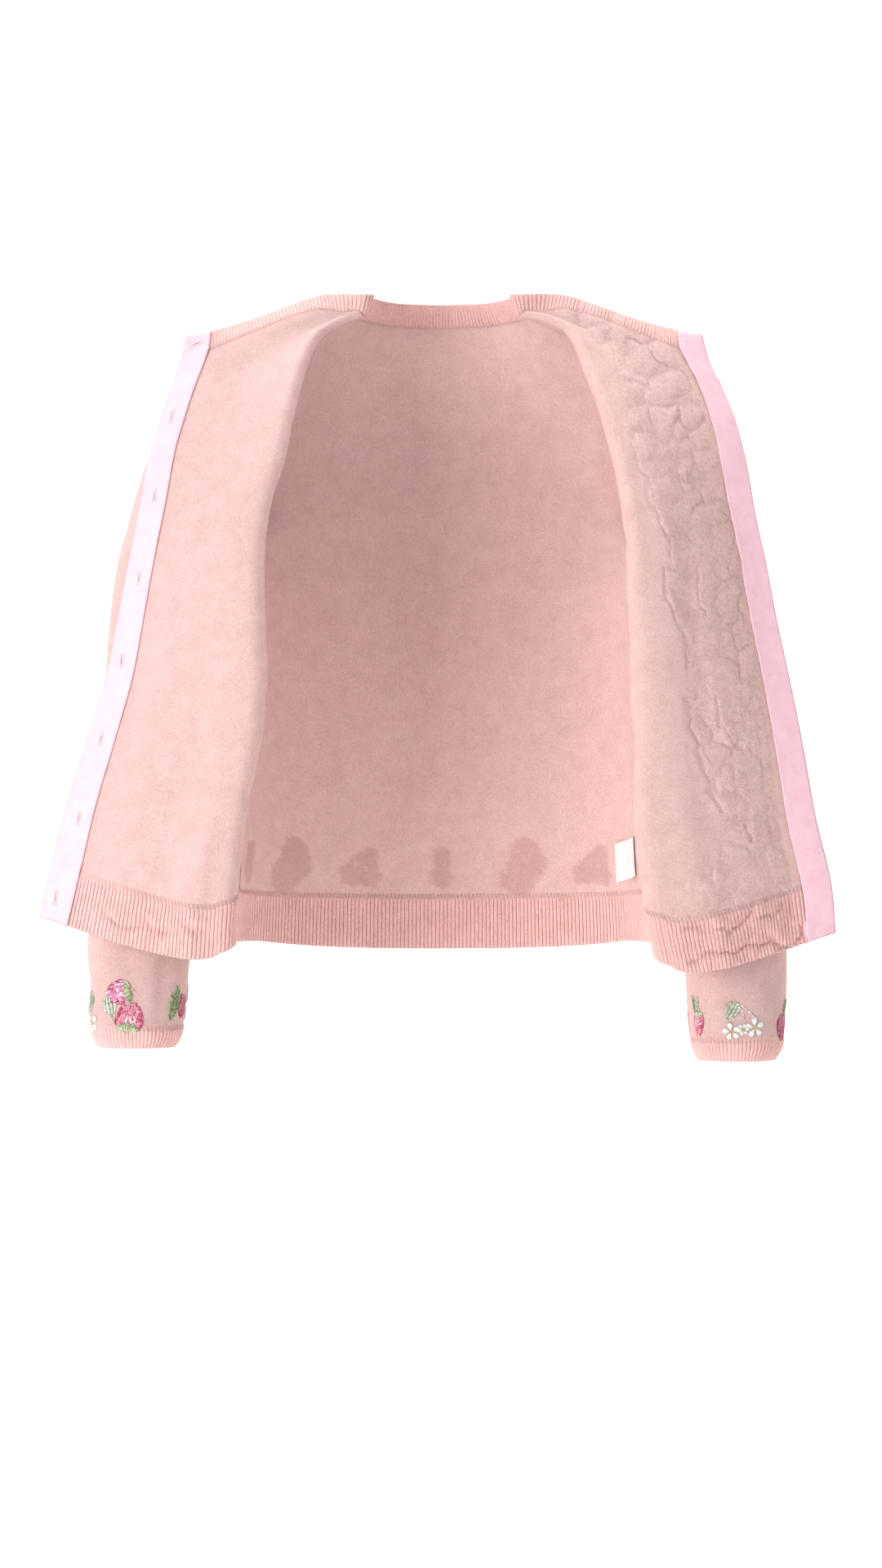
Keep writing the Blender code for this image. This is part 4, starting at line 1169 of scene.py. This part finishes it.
holes = bmesh.new()
slit_shadows = bmesh.new()
for hole in BUTTONHOLES:
    for hand in (-1, 1):
        for y in steps(-SLIT / 2, SLIT / 2, HOLE_STITCHES // 2):
            start, out = beside_slit(hole, hand * SLIT_HALF, y)
            end, out = beside_slit(hole, hand * HOLE_HALF, y)
            stitch(holes, start, end, TWIST, TWIST, out)
        for x in steps(-HOLE_HALF, HOLE_HALF, 6):
            start, out = beside_slit(hole, x, hand * SLIT / 2)
            end, out = beside_slit(hole, x, hand * (SLIT / 2 + HOLE_HALF * 0.7))
            stitch(holes, start, end, TWIST_AT_ENDS, TWIST_AT_ENDS, out)
    # A dark bead down each slit is painted shadow, where the opening would show shade.
    top, out = beside_slit(hole, 0, -SLIT * 0.38)
    bottom, out = beside_slit(hole, 0, SLIT * 0.38)
    stitch(slit_shadows, top, bottom, SLIT_HALF * 2, TWIST_AT_ENDS, out)
sewn("buttonhole_stitches", holes, yarn("buttonhole twist", (0.82, 0.66, 0.68), 0.4), "ribbon")
sewn("buttonhole_slit_shadows", slit_shadows, yarn("slit shadow", (0.34, 0.27, 0.26)), "ribbon")

# The buttons
# Eight round brownish pearl buttons with a raised rim and two holes, sewn through the left front's
# edge. The front is turned back, so they lie between it and the sleeve.

Button = namedtuple("Button", "down inset")
BUTTONS = (
    Button(-0.020, 0.0190),
    Button(0.150, 0.0195),
    Button(0.305, 0.0200),
    Button(0.457, 0.0195),
    Button(0.609, 0.0195),
    Button(0.757, 0.0180),
    Button(0.907, 0.0150),
    Button(1.053, 0.0045),
)
BUTTON_PROFILE = (
    (0.0, 0.0009), (0.0024, 0.0009), (0.0031, 0.0012), (0.0040, 0.0013), (0.0047, 0.0008),
    (0.0050, 0.0001), (0.0047, -0.0007), (0.0036, -0.0012), (0.0, -0.0013))
HOLE_OUT = 0.0012
HOLE_RADIUS = 0.0006
DRILL_DEPTH = 0.01
BUTTON_THREAD = 0.0004
BUTTON_THREAD_RISE = 0.0005
BACK_THREAD = 0.0006


def pearl(name, colour):
    """Pearly moulded plastic with slow smoky swirls."""
    node, _, blend, finish = finish_nodes(name)
    place = node("TexCoord", {})["Object"]
    swirl = node("TexNoise", {"Vector": place, "Scale": 160, "Detail": 3, "Distortion": 2.5})[0]
    return finish({
        "Base Color": blend(swirl, (0.3, shade_of(colour, 0.7, 0.65, 0.62)),
                            (0.75, shade_of(colour, 1.3, 1.35, 1.4))),
        "Roughness": 0.22, "Coat Weight": 0.6, "Coat Roughness": 0.1})


button_pearl = pearl("brownish pearl", (0.46, 0.33, 0.27))
button_stitches = bmesh.new()
for number, (down, inset) in enumerate(BUTTONS, 1):
    low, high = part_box(f"button_{number}")
    centre = (Vector(low) + Vector(high)) / 2
    out = -front_normal("left", inset, down)
    turn = out.to_track_quat("Z", "Y").to_matrix().to_4x4()
    mesh = bmesh.new()
    profile = [mesh.verts.new((radius, 0, height)) for radius, height in BUTTON_PROFILE]
    edges = [mesh.edges.new(pair) for pair in zip(profile, profile[1:])]
    bmesh.ops.spin(mesh, geom=profile + edges, cent=(0, 0, 0), axis=(0, 0, 1),
                   angle=2 * math.pi, steps=32, use_merge=True)
    bmesh.ops.remove_doubles(mesh, verts=mesh.verts, dist=SAME_PLACE)
    bmesh.ops.recalc_face_normals(mesh, faces=mesh.faces)
    bmesh.ops.transform(mesh, matrix=Matrix.Translation(centre) @ turn, verts=mesh.verts)
    button = made_from(f"pearl_button_{number}", mesh, (button_pearl,))
    drill = bmesh.new()
    for across in (-HOLE_OUT, HOLE_OUT):
        bmesh.ops.create_cone(drill, cap_ends=True, segments=16, radius1=HOLE_RADIUS,
                              radius2=HOLE_RADIUS, depth=DRILL_DEPTH,
                              matrix=Matrix.Translation(centre) @ turn
                              @ Matrix.Translation((across, 0, 0)))
    cutter = made_from("drill", drill)
    cutter.data.shade_flat()
    bore = button.modifiers.new("holes", "BOOLEAN")
    bore.object = cutter
    bore.operation = "DIFFERENCE"
    cut = bpy.data.meshes.new_from_object(
        button.evaluated_get(bpy.context.evaluated_depsgraph_get()))
    button.modifiers.clear()
    button.data = cut
    bpy.data.objects.remove(cutter)
    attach(button, "root")
    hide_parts(f"button_{number}")
    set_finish(button, "button_pearl")
    across = turn @ Vector((HOLE_OUT, 0, 0))
    for shift in (-BUTTON_THREAD / 2, BUTTON_THREAD / 2):
        over = centre + out * 0.0012 + turn @ Vector((0, shift, 0))
        stitch(button_stitches, over - across, over + across, BUTTON_THREAD, BUTTON_THREAD_RISE, out)
    if number < len(BUTTONS):
        face, wrong = on_ribbon("left", inset, down, BUTTON_THREAD_RISE)
        beside, wrong = on_ribbon("left", inset + 0.0011, down + 0.001, BUTTON_THREAD_RISE)
        above, wrong = on_ribbon("left", inset, down + 0.0026, BUTTON_THREAD_RISE)
        stitch(button_stitches, face, beside, BACK_THREAD, BUTTON_THREAD_RISE, wrong)
        stitch(button_stitches, face, above, BACK_THREAD, BUTTON_THREAD_RISE, wrong)
        stitch(button_stitches, beside, above, BUTTON_THREAD_RISE, BUTTON_THREAD, wrong)
sewn("button_threads", button_stitches, yarn("button thread", (0.80, 0.50, 0.48)), "ribbon")

# The label
# A small plain woven tab, white and blank, caught by stitches at its two ends on the wrong side
# of the back, towards the side seam.

LABEL = 0.0007
LABEL_LIFT = 0.0019
LABEL_ACROSS = (0.694, 0.856)
LABEL_DOWN = (0.905, 0.976)
LABEL_TILT = 0.06
LABEL_CURL = 0.0006
LABEL_RIPPLE = 0.0003
TACK_EDGE = 0.008
TACK_REACH = 0.0048
TACK_LIFT = 0.0010


def label_satin(name, colour):
    """Close satin weave with a soft gloss."""
    node, calc, blend, finish = finish_nodes(name)
    place = node("SeparateXYZ", {0: node("UVMap", {}, uv_map="cloth")[0]})
    threads = calc("ABSOLUTE", calc("SINE", calc("MULTIPLY", place["Y"], math.pi / 0.0004)))
    cloudy = node("TexNoise", {"Vector": node("TexCoord", {})["Object"], "Scale": 200, "Detail": 3})[0]
    # Painted shade: the hollows between the threads are a little darker than their tops.
    tone = calc("ADD", calc("MULTIPLY", threads, 0.3), calc("MULTIPLY", cloudy, 0.7))
    return finish({
        "Base Color": blend(tone, (0.2, shade_of(colour, 0.9, 0.9, 0.9)), (0.8, colour)),
        "Normal": node("Bump", {"Height": threads, "Strength": 0.3, "Distance": 0.0002})[0],
        "Roughness": 0.5})


def inside_back(across, down, lift):
    """A point just inside the back, with the direction that it faces."""
    here = back_point(across, down)
    sideways = back_point(across + 0.01, down) - here
    downwards = back_point(across, down + 0.01) - here
    out = sideways.cross(downwards).normalized()
    if out.y > 0:
        out = -out
    return here + out * lift, out


def on_label(across, down, lift):
    """A point on the label, which lies a little aslant, with the direction that it faces."""
    return inside_back(across, down - LABEL_TILT * (across - LABEL_ACROSS[0]), LABEL_LIFT + lift)


lines = []
for down in steps(*LABEL_DOWN, 20):
    line = []
    for across in steps(*LABEL_ACROSS, 30):
        curl = LABEL_CURL * (2 * abs(across - sum(LABEL_ACROSS) / 2)) ** 2 / 0.026
        ripple = LABEL_RIPPLE * noise.noise(Vector((across * 60, down * 60, 8)))
        line.append(on_label(across, down, curl + ripple)[0])
    lines.append(line)
# The label's white is greyed a little, standing in for the shade it lies in: painted shade.
label = cloth("blank_label", lines, LABEL, (label_satin("white label satin", (0.80, 0.78, 0.76)),))
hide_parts("label")
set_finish(label, "label_cloth")
tacks = bmesh.new()
for down in steps(LABEL_DOWN[0] + 0.004, LABEL_DOWN[1] - 0.004, 9):
    for across in (LABEL_ACROSS[0] + TACK_EDGE, LABEL_ACROSS[1] - TACK_EDGE):
        start, out = on_label(across, down, TACK_LIFT)
        end, out = on_label(across, down + TACK_REACH, TACK_LIFT)
        stitch(tacks, start, end, THREAD_WIDTH, THREAD_WIDTH, out)
sewn("label_stitches", tacks, yarn("white thread", (0.88, 0.86, 0.84)), "label_cloth")

# The embroidery
# Strawberries, leaves and daisies worked by hand in stranded cotton on the right side of the
# knitting, round both sleeves above the cuffs and along the back and the fronts.

STRAND = 0.0011
STRAND_STEP = 0.00076
STRAND_RISE = 0.0007
FRUIT_ROW = 0.0019
FRUIT_STITCH = 0.0030
LEAF_ROW = 0.00090
PETAL_SPREAD = 0.40
PETAL_STRAND = 0.0016
STEM_STRAND = 0.0013
THIN_STRAND = 0.0007
PADDING = 0.0005
CLEAR_OF_KNIT = 0.0001
UNEVEN_ROW = 0.0005
UNEVEN_STITCH = 0.0004
ORCHID = ((0.72, 0.20, 0.40), (0.80, 0.36, 0.54), (0.46, 0.03, 0.14), (0.92, 0.78, 0.84))
CORAL = ((0.80, 0.24, 0.35), (0.87, 0.43, 0.53), (0.52, 0.05, 0.15), (0.94, 0.78, 0.81))
ROSE = ((0.52, 0.09, 0.15), (0.62, 0.18, 0.25), (0.34, 0.03, 0.07), (0.72, 0.36, 0.42))
GREEN = ((0.24, 0.36, 0.15), (0.38, 0.52, 0.25), (0.54, 0.68, 0.42), (0.10, 0.16, 0.07))
PALE_GREEN = ((0.44, 0.58, 0.40), (0.62, 0.74, 0.57), (0.28, 0.40, 0.25), (0.80, 0.86, 0.76))
# The third shade, grey, is painted shade at the edges of the daisies' petals.
WHITE = ((0.86, 0.86, 0.84), (0.92, 0.92, 0.90), (0.46, 0.46, 0.44))
STEM_GREY = ((0.70, 0.74, 0.66), (0.84, 0.86, 0.82))
YELLOW = ((0.84, 0.66, 0.30), (0.78, 0.57, 0.22))
needle = random.Random(11)


def ground(surface, across, down, right, outward, tilt, size):
    """A way to find places on a piece's right side, to the right of one spot and up from it."""
    here = surface(across, down)
    wide = (surface(across + 0.01, down) - here).length / 0.01
    long = (surface(across, down + 0.01) - here).length / 0.01
    turn = math.radians(tilt)

    def place(x, y, lift):
        x, y = x * size, y * size
        u = across + right * (x * math.cos(turn) - y * math.sin(turn)) / wide
        v = down - (x * math.sin(turn) + y * math.cos(turn)) / long
        point = surface(u, v)
        out = (surface(u + 0.004, v) - point).cross(surface(u, v + 0.004) - point).normalized()
        return point + out * outward * (KNIT / 2 + CLEAR_OF_KNIT + lift), out * outward

    return place


def turned_by(x, y, tilt):
    """A way to turn places about one spot of a motif."""
    cos, sin = math.cos(math.radians(tilt)), math.sin(math.radians(tilt))
    return lambda across, up: (x + across * cos - up * sin, y + across * sin + up * cos)


def strand(mesh, place, start, end, lift, skein, width=STRAND):
    """One stitch of cotton between two places, in one of the shades of a skein."""
    a, out = place(*start, lift)
    b, out = place(*end, lift)
    stitch(mesh, a, b, width, STRAND_RISE, out, needle.choice(skein))


def strawberry(mesh, place, x, y, width, height, tilt, skein, sepals=True):
    """A strawberry: rows of upright stitches in mixed pinks, a dark outline and green sepals."""
    at = turned_by(x, y, tilt)

    def half(t):
        return width / 2 * math.sqrt(1 - t ** 2.8) * min(1.0, 0.5 + t * 2)

    rows = round(height / FRUIT_ROW)
    for row in range(rows):
        t = (row + 0.5) / rows
        reach = half(t)
        count = max(1, round(2 * reach / STRAND_STEP))
        for k in range(count):
            across = -reach + 2 * reach * (k + 0.5) / count
            up = height * (0.5 - t) + needle.uniform(-UNEVEN_ROW, UNEVEN_ROW)
            shades = skein[:2] if abs(across) < reach * 0.75 else skein[:1] + skein[2:3]
            chance = needle.random()
            if chance < 0.10:
                shades = skein[2:3]
            elif chance > (0.62 if -0.35 < across / width < 0.15 and t < 0.6 else 0.92):
                shades = skein[3:]
            lean = needle.uniform(-UNEVEN_STITCH, UNEVEN_STITCH)
            strand(mesh, place, at(across - lean, up + FRUIT_STITCH / 2),
                   at(across + lean, up - FRUIT_STITCH / 2),
                   PADDING * (1 - (2 * across / width) ** 2), shades)
    rim = [(-half(t), height * (0.5 - t)) for t in steps(0.02, 0.97, 10)]
    rim += [(half(t), height * (0.5 - t)) for t in steps(0.97, 0.02, 10)]
    for a, b in zip(rim, rim[1:]):
        strand(mesh, place, at(*a), at(*b), PADDING * 0.4, skein[2:3], THIN_STRAND)
    if not sepals:
        return
    for lean in (-66, -34, 0, 34, 66):
        for spread in (-13, -5, 5, 13):
            tip = width * (0.43 - abs(spread) * 0.009)
            angle = math.radians(lean + spread)
            strand(mesh, place, at(math.sin(math.radians(lean)) * width * 0.12, height * 0.52),
                   at(math.sin(angle) * tip * 1.25, height * 0.50 - math.cos(angle) * tip),
                   PADDING * 1.6, GREEN[:3])
    strand(mesh, place, at(0, height * 0.5), at(0.0008, height * 0.5 + 0.0035), PADDING, GREEN)


def leaf(mesh, place, x, y, length, width, tilt, skein):
    """A leaf: slanting stitches out from a midrib on both sides."""
    at = turned_by(x, y, tilt)
    rows = round(length / LEAF_ROW)
    for row in range(rows):
        t = (row + 0.5) / rows
        reach = width / 2 * math.sin(math.pi * t ** 0.85) ** 0.8
        up = length * (t - 0.5)
        for hand in (-1, 1):
            tip = (hand * reach, up + reach * 0.55 + needle.uniform(-UNEVEN_STITCH, UNEVEN_STITCH))
            middle = (tip[0] * 0.5, up + reach * 0.27)
            strand(mesh, place, at(0, up), at(*middle), PADDING, skein[:2] + skein[3:])
            strand(mesh, place, at(*middle), at(*tip), PADDING * 0.5, skein)
            edge = (tip[0] * 1.03, tip[1] - 0.0004)
            strand(mesh, place, at(*tip), at(*edge), 0.0, skein[2:3])
    for a, b in zip(steps(-0.5, 0.5, 6), steps(-0.5, 0.5, 6)[1:]):
        strand(mesh, place, at(0, a * length), at(0, b * length), PADDING * 1.5, skein[2:3], 0.0006)


def daisy(mesh, place, x, y, radius, petals, turn):
    """A daisy: petals of long white stitches, edged in grey as painted shade, round a cluster of yellow
    knots.
    """
    for petal in range(petals):
        angle = math.radians(turn + 360 * petal / petals)
        reach = radius * needle.uniform(0.92, 1.08)
        for k in range(7):
            aside = (k - 3) / 3
            tip = reach * (1 - 0.22 * aside ** 2)
            end = angle + aside * PETAL_SPREAD
            outline = abs(k - 3) == 3
            strand(mesh, place, (x + 0.0008 * math.cos(angle), y + 0.0008 * math.sin(angle)),
                   (x + tip * math.cos(end), y + tip * math.sin(end)),
                   0.0 if outline else PADDING, WHITE[2:] if outline else WHITE[:2],
                   THIN_STRAND if outline else PETAL_STRAND)
    for k in range(6):
        knot_x = x + 0.0012 * math.cos(math.pi * k / 3)
        knot_y = y + 0.0012 * math.sin(math.pi * k / 3)
        strand(mesh, place, (knot_x - 0.0007, knot_y), (knot_x + 0.0007, knot_y), PADDING * 2.6, YELLOW)


def stem(mesh, place, places, skein):
    """A line of stem stitch."""
    for a, b in zip(places, places[1:]):
        strand(mesh, place, a, b, PADDING, skein, STEM_STRAND)


def berry_pair(mesh, place):
    """Two strawberries that lie together, with a pale leaf beside them."""
    leaf(mesh, place, -0.0090, -0.0010, 0.015, 0.011, 12, PALE_GREEN)
    stem(mesh, place, ((-0.0080, -0.0080), (-0.0065, -0.0105), (-0.0055, -0.0130)), PALE_GREEN)
    strawberry(mesh, place, -0.0030, 0.0083, 0.0165, 0.0165, -76, ORCHID)
    leaf(mesh, place, 0.0035, 0.0020, 0.006, 0.004, 20, PALE_GREEN)
    strawberry(mesh, place, 0.0046, -0.0076, 0.0195, 0.0195, 172, CORAL)


def daisy_pair(mesh, place):
    """Two daisies and a ring of petals under a leaf, on two pale stems."""
    leaf(mesh, place, -0.0075, 0.0068, 0.0140, 0.0100, -32, PALE_GREEN)
    stem(mesh, place, ((-0.0050, 0.0115), (-0.0028, 0.0100), (-0.0012, 0.0080), (-0.0002, 0.0058),
                       (0.0002, 0.0034), (0.0000, 0.0010)), STEM_GREY)
    stem(mesh, place, ((-0.0045, 0.0122), (-0.0018, 0.0110), (0.0008, 0.0094), (0.0034, 0.0074),
                       (0.0056, 0.0050), (0.0070, 0.0026)), STEM_GREY)
    daisy(mesh, place, 0.0000, -0.0056, 0.0046, 6, 10)
    daisy(mesh, place, -0.0078, -0.0070, 0.0072, 5, 30)
    daisy(mesh, place, 0.0082, -0.0044, 0.0082, 5, 96)


def slender_berry(mesh, place):
    """One slender strawberry under a tuft of narrow leaves."""
    leaf(mesh, place, -0.0035, 0.0095, 0.0130, 0.0042, 8, GREEN)
    leaf(mesh, place, 0.0002, 0.0100, 0.0110, 0.0034, -14, PALE_GREEN)
    strawberry(mesh, place, 0.0008, -0.0035, 0.0100, 0.0165, -6, CORAL)


def upright_leaf(mesh, place):
    """A tall leaf with a berry half hidden at its side."""
    strawberry(mesh, place, 0.0085, -0.0020, 0.0100, 0.0150, -4, ROSE, sepals=False)
    leaf(mesh, place, 0.0000, 0.0000, 0.0240, 0.0095, -12, GREEN)


def lone_berry(mesh, place):
    """One full strawberry that hangs from a leaf."""
    leaf(mesh, place, 0.0030, 0.0120, 0.0110, 0.0070, -30, GREEN)
    strawberry(mesh, place, 0.0000, -0.0020, 0.0140, 0.0175, 4, ROSE, sepals=False)


def leaf_and_daisy(mesh, place):
    """A pale leaf above a single daisy."""
    leaf(mesh, place, 0.0000, 0.0065, 0.0130, 0.0085, 6, PALE_GREEN)
    daisy(mesh, place, 0.0005, -0.0065, 0.0078, 5, 40)


def cotton(name):
    """Stranded cotton: smooth and a little glossy, in the shade of each stitch."""
    node, _, _, finish = finish_nodes(name)
    place = node("TexCoord", {})["Object"]
    fleck = node("TexNoise", {"Vector": place, "Scale": 2600, "Detail": 1})[0]
    ply = node("MapRange", {"Value": fleck, "From Min": 0.3, "From Max": 0.7, "To Min": 0.8})[0]
    shade = node("Attribute", {}, attribute_name="thread")["Color"]
    return finish({
        "Base Color": node("VectorMath", {0: shade, "Scale": ply}, operation="SCALE")[0],
        "Roughness": 0.4, "Specular IOR Level": 0.45, "Sheen Weight": 0.15})


def embroidered(name, motifs, surface, right, outward):
    """All the motifs on one panel, as one piece."""
    mesh = bmesh.new()
    mesh.verts.layers.float_color.new("thread")
    for motif in motifs:
        work = bmesh.new()
        work.verts.layers.float_color.new("thread")
        motif.work(work, ground(surface, motif.across, motif.down, right, outward, motif.tilt,
                                motif.size))
        data = bpy.data.meshes.new("motif")
        work.to_mesh(data)
        work.free()
        mesh.from_mesh(data)
        bpy.data.meshes.remove(data)
    return sewn(name, mesh, stranded_cotton, "wool_knit")


stranded_cotton = cotton("stranded cotton")
Motif = namedtuple("Motif", "work across down tilt size")
SLEEVE_MOTIFS = {
    "right": (
        Motif(berry_pair, 0.210, 0.9625, 0, 1.22),
        Motif(upright_leaf, 0.397, 0.9590, 0, 1.24),
        Motif(leaf_and_daisy, 0.064, 0.9745, 0, 1.30),
        Motif(daisy_pair, 0.560, 0.9600, 0, 1.16),
        Motif(berry_pair, 0.715, 0.9550, 6, 1.25),
        Motif(slender_berry, 0.880, 0.9600, 0, 1.14),
    ),
    "left": (
        Motif(daisy_pair, 0.2400, 0.9670, 0, 1.18),
        Motif(slender_berry, 0.4080, 0.9640, 0, 1.14),
        Motif(lone_berry, 0.0660, 0.9740, 0, 1.16),
        Motif(berry_pair, 0.9000, 0.9550, 0, 1.25),
        Motif(leaf_and_daisy, 0.7450, 0.9600, 0, 1.20),
        Motif(berry_pair, 0.5750, 0.9550, -6, 1.25),
    ),
}
FRONT_MOTIFS = {
    "right": (
        Motif(berry_pair, 0.640, 0.925, 0, 1.25),
        Motif(daisy_pair, 0.810, 0.930, 6, 1.16),
    ),
    "left": (
        Motif(daisy_pair, 0.660, 0.925, 0, 1.16),
        Motif(berry_pair, 0.620, 0.770, 10, 1.25),
        Motif(berry_pair, 0.570, 0.550, 0, 1.25),
        Motif(slender_berry, 0.700, 0.300, 8, 1.14),
        Motif(slender_berry, 0.820, 0.930, 0, 1.14),
    ),
}
BACK_MOTIFS = (
    Motif(slender_berry, -0.84, 0.945, 0, 1.14),
    Motif(berry_pair, -0.56, 0.940, 4, 1.25),
    Motif(daisy_pair, -0.27, 0.945, 0, 1.16),
    Motif(leaf_and_daisy, 0.00, 0.945, 0, 1.20),
    Motif(berry_pair, 0.27, 0.940, -4, 1.25),
    Motif(daisy_pair, 0.56, 0.945, 0, 1.16),
    Motif(slender_berry, 0.84, 0.945, 0, 1.14),
)
back_embroidery = embroidered("back_embroidery", BACK_MOTIFS, back_point, -1, 1)
for side in SIGN:
    embroidered("sleeve_embroidery_" + side, SLEEVE_MOTIFS[side], partial(sleeve_point, side),
                -SIGN[side], SIGN[side])
    embroidered("front_embroidery_" + side, FRONT_MOTIFS[side], partial(front_point, side),
                -SIGN[side], SIGN[side])

# Painted shade on the back's wrong side, behind its motifs: the knit is darker where their stitches lie,
# partly for the stitches' reverse showing through and partly for the shade they cast through the thin
# wool.
STITCH_REACH = 0.0029
STITCH_FADE = 0.0011
STITCH_SHADE = 1.9
stitched = KDTree(len(back_embroidery.data.vertices))
for index, vert in enumerate(back_embroidery.data.vertices):
    stitched.insert(vert.co, index)
stitched.balance()
through = []
for vert in back.data.vertices:
    nearest = stitched.find(vert.co)[2]
    through.append(STITCH_SHADE * min(1.0, max(0.0, (STITCH_REACH - nearest) / STITCH_FADE)))
measure(back, "painted shade behind motifs", through)

# The nap
# Brushing lifts fine loose fibres out of the wool, which make a soft halo on every fold and edge.
# Each fibre is one sliver that leans its own way.

FIBRE = 0.00010
FIBRE_STANDS = (0.2, 1.1)
FIBRE_LEANS = 0.8
FIBRE_HANGS = -0.3
SHORTEST = 0.3
Nap = namedtuple("Nap", "piece fibres right_share longest seed")
NAPS = (
    Nap(fronts["right"], 24000, 0.35, 0.0026, 1),
    Nap(fronts["left"], 24000, 0.35, 0.0026, 2),
    Nap(back, 18000, 0.65, 0.0024, 3),
    Nap(sleeves["right"], 14000, 0.90, 0.0024, 4),
    Nap(sleeves["left"], 14000, 0.90, 0.0024, 5),
    Nap(hem_band, 12000, 0.50, 0.0018, 6),
    Nap(neckband, 5000, 0.50, 0.0018, 7),
    Nap(cuffs["right"], 2400, 0.85, 0.0017, 8),
    Nap(cuffs["left"], 2400, 0.85, 0.0017, 9),
)
loose_wool = yarn("loose wool fibres", (0.86, 0.60, 0.57), 1.0)


def brushed(nap):
    """The loose fibres on both faces of a piece."""
    picks = random.Random(nap.seed)
    data = nap.piece.data
    wall = nap.piece.modifiers["wall"].thickness / 2
    areas = [0.0] * len(data.polygons)
    data.polygons.foreach_get("area", areas)
    chosen = picks.choices(range(len(areas)), weights=areas, k=nap.fibres)
    mesh = bmesh.new()
    bmesh.ops.create_grid(mesh, x_segments=1, y_segments=nap.fibres // 2, size=1)
    bmesh.ops.triangulate(mesh, faces=mesh.faces)
    bmesh.ops.split_edges(mesh, edges=mesh.edges)
    for sliver, index in zip(mesh.faces, chosen):
        under = data.polygons[index]
        a, b, c, d = (data.vertices[k].co for k in under.vertices)
        out = under.normal * (1 if picks.random() < nap.right_share else -1)
        root = a.lerp(b, picks.random()).lerp(d.lerp(c, picks.random()), picks.random()) + out * wall
        lean = Vector((picks.gauss(0, 1), picks.gauss(0, 1), picks.gauss(FIBRE_HANGS, 1)))
        lean.normalize()
        along = (out * picks.uniform(*FIBRE_STANDS) + lean * FIBRE_LEANS).normalized()
        beside = along.cross(lean).normalized() * FIBRE / 2
        tip = root + along * nap.longest * picks.uniform(SHORTEST, 1) ** 1.5
        for vert, corner in zip(sliver.verts, (root - beside, root + beside, tip)):
            vert.co = corner
    sewn("nap_of_" + nap.piece.name, mesh, loose_wool, nap.piece["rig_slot"])


for nap in NAPS:
    brushed(nap)

# The studio
# A plain white sweep behind and under the cardigan, soft light from the upper left, and a camera at
# the photograph's angle.

SWEEP = ((-6.0, -1.30), (2.2, -1.30), (2.9, -1.18), (3.3, -0.85), (3.45, -0.3), (3.5, 4.5))
mesh = bmesh.new()
profile = [mesh.verts.new((-6.0, y, z)) for y, z in SWEEP]
edges = [mesh.edges.new(pair) for pair in zip(profile, profile[1:])]
swept = bmesh.ops.extrude_edge_only(mesh, edges=edges)
moved = [item for item in swept["geom"] if isinstance(item, bmesh.types.BMVert)]
bmesh.ops.translate(mesh, vec=(12.0, 0, 0), verts=moved)
bmesh.ops.recalc_face_normals(mesh, faces=mesh.faces)
finish = finish_nodes("white paper")[-1]
sweep = made_from("paper_sweep", mesh,
                  (finish({"Base Color": (0.93, 0.93, 0.93, 1), "Roughness": 0.9}),))
smooth = sweep.modifiers.new("smooth", "SUBSURF")
smooth.levels = 3
smooth.render_levels = 3

world = bpy.data.worlds.new("studio")
bpy.context.scene.world = world
world.use_nodes = True
sky = world.node_tree.nodes["Background"].inputs
sky["Color"].default_value = (1.0, 0.985, 0.975, 1)
sky["Strength"].default_value = 0.50


def softbox(name, place, aim, size, power):
    """A square soft light that points at a place."""
    lamp = bpy.data.lights.new(name, "AREA")
    lamp.energy = power
    lamp.size = size
    holder = bpy.data.objects.new(name, lamp)
    holder.location = place
    holder.rotation_euler = (Vector(aim) - Vector(place)).to_track_quat("-Z", "Y").to_euler()
    bpy.context.collection.objects.link(holder)


GARMENT_MIDDLE = (0, 0, -0.3)
softbox("key_light", (-2.0, -1.8, -0.1), GARMENT_MIDDLE, 1.3, 53)
softbox("fill_light", (2.2, -2.8, -0.4), GARMENT_MIDDLE, 2.0, 19)
softbox("top_light", (0.2, -0.6, 2.6), GARMENT_MIDDLE, 2.0, 12)
softbox("sweep_light", (0, 1.2, 2.4), (0, 3.4, -0.4), 3.0, 190)

FIELD_OF_VIEW = 21.7
CAMERA_PLACE = (-0.0007, -3.35, -0.385)
lens = bpy.data.cameras.new("camera")
lens.sensor_fit = "VERTICAL"
lens.angle = math.radians(FIELD_OF_VIEW)
camera = bpy.data.objects.new("camera", lens)
camera.location = CAMERA_PLACE
camera.rotation_euler = (math.pi / 2, 0, 0)
bpy.context.collection.objects.link(camera)
bpy.context.scene.camera = camera
bpy.context.scene.view_settings.view_transform = "Standard"
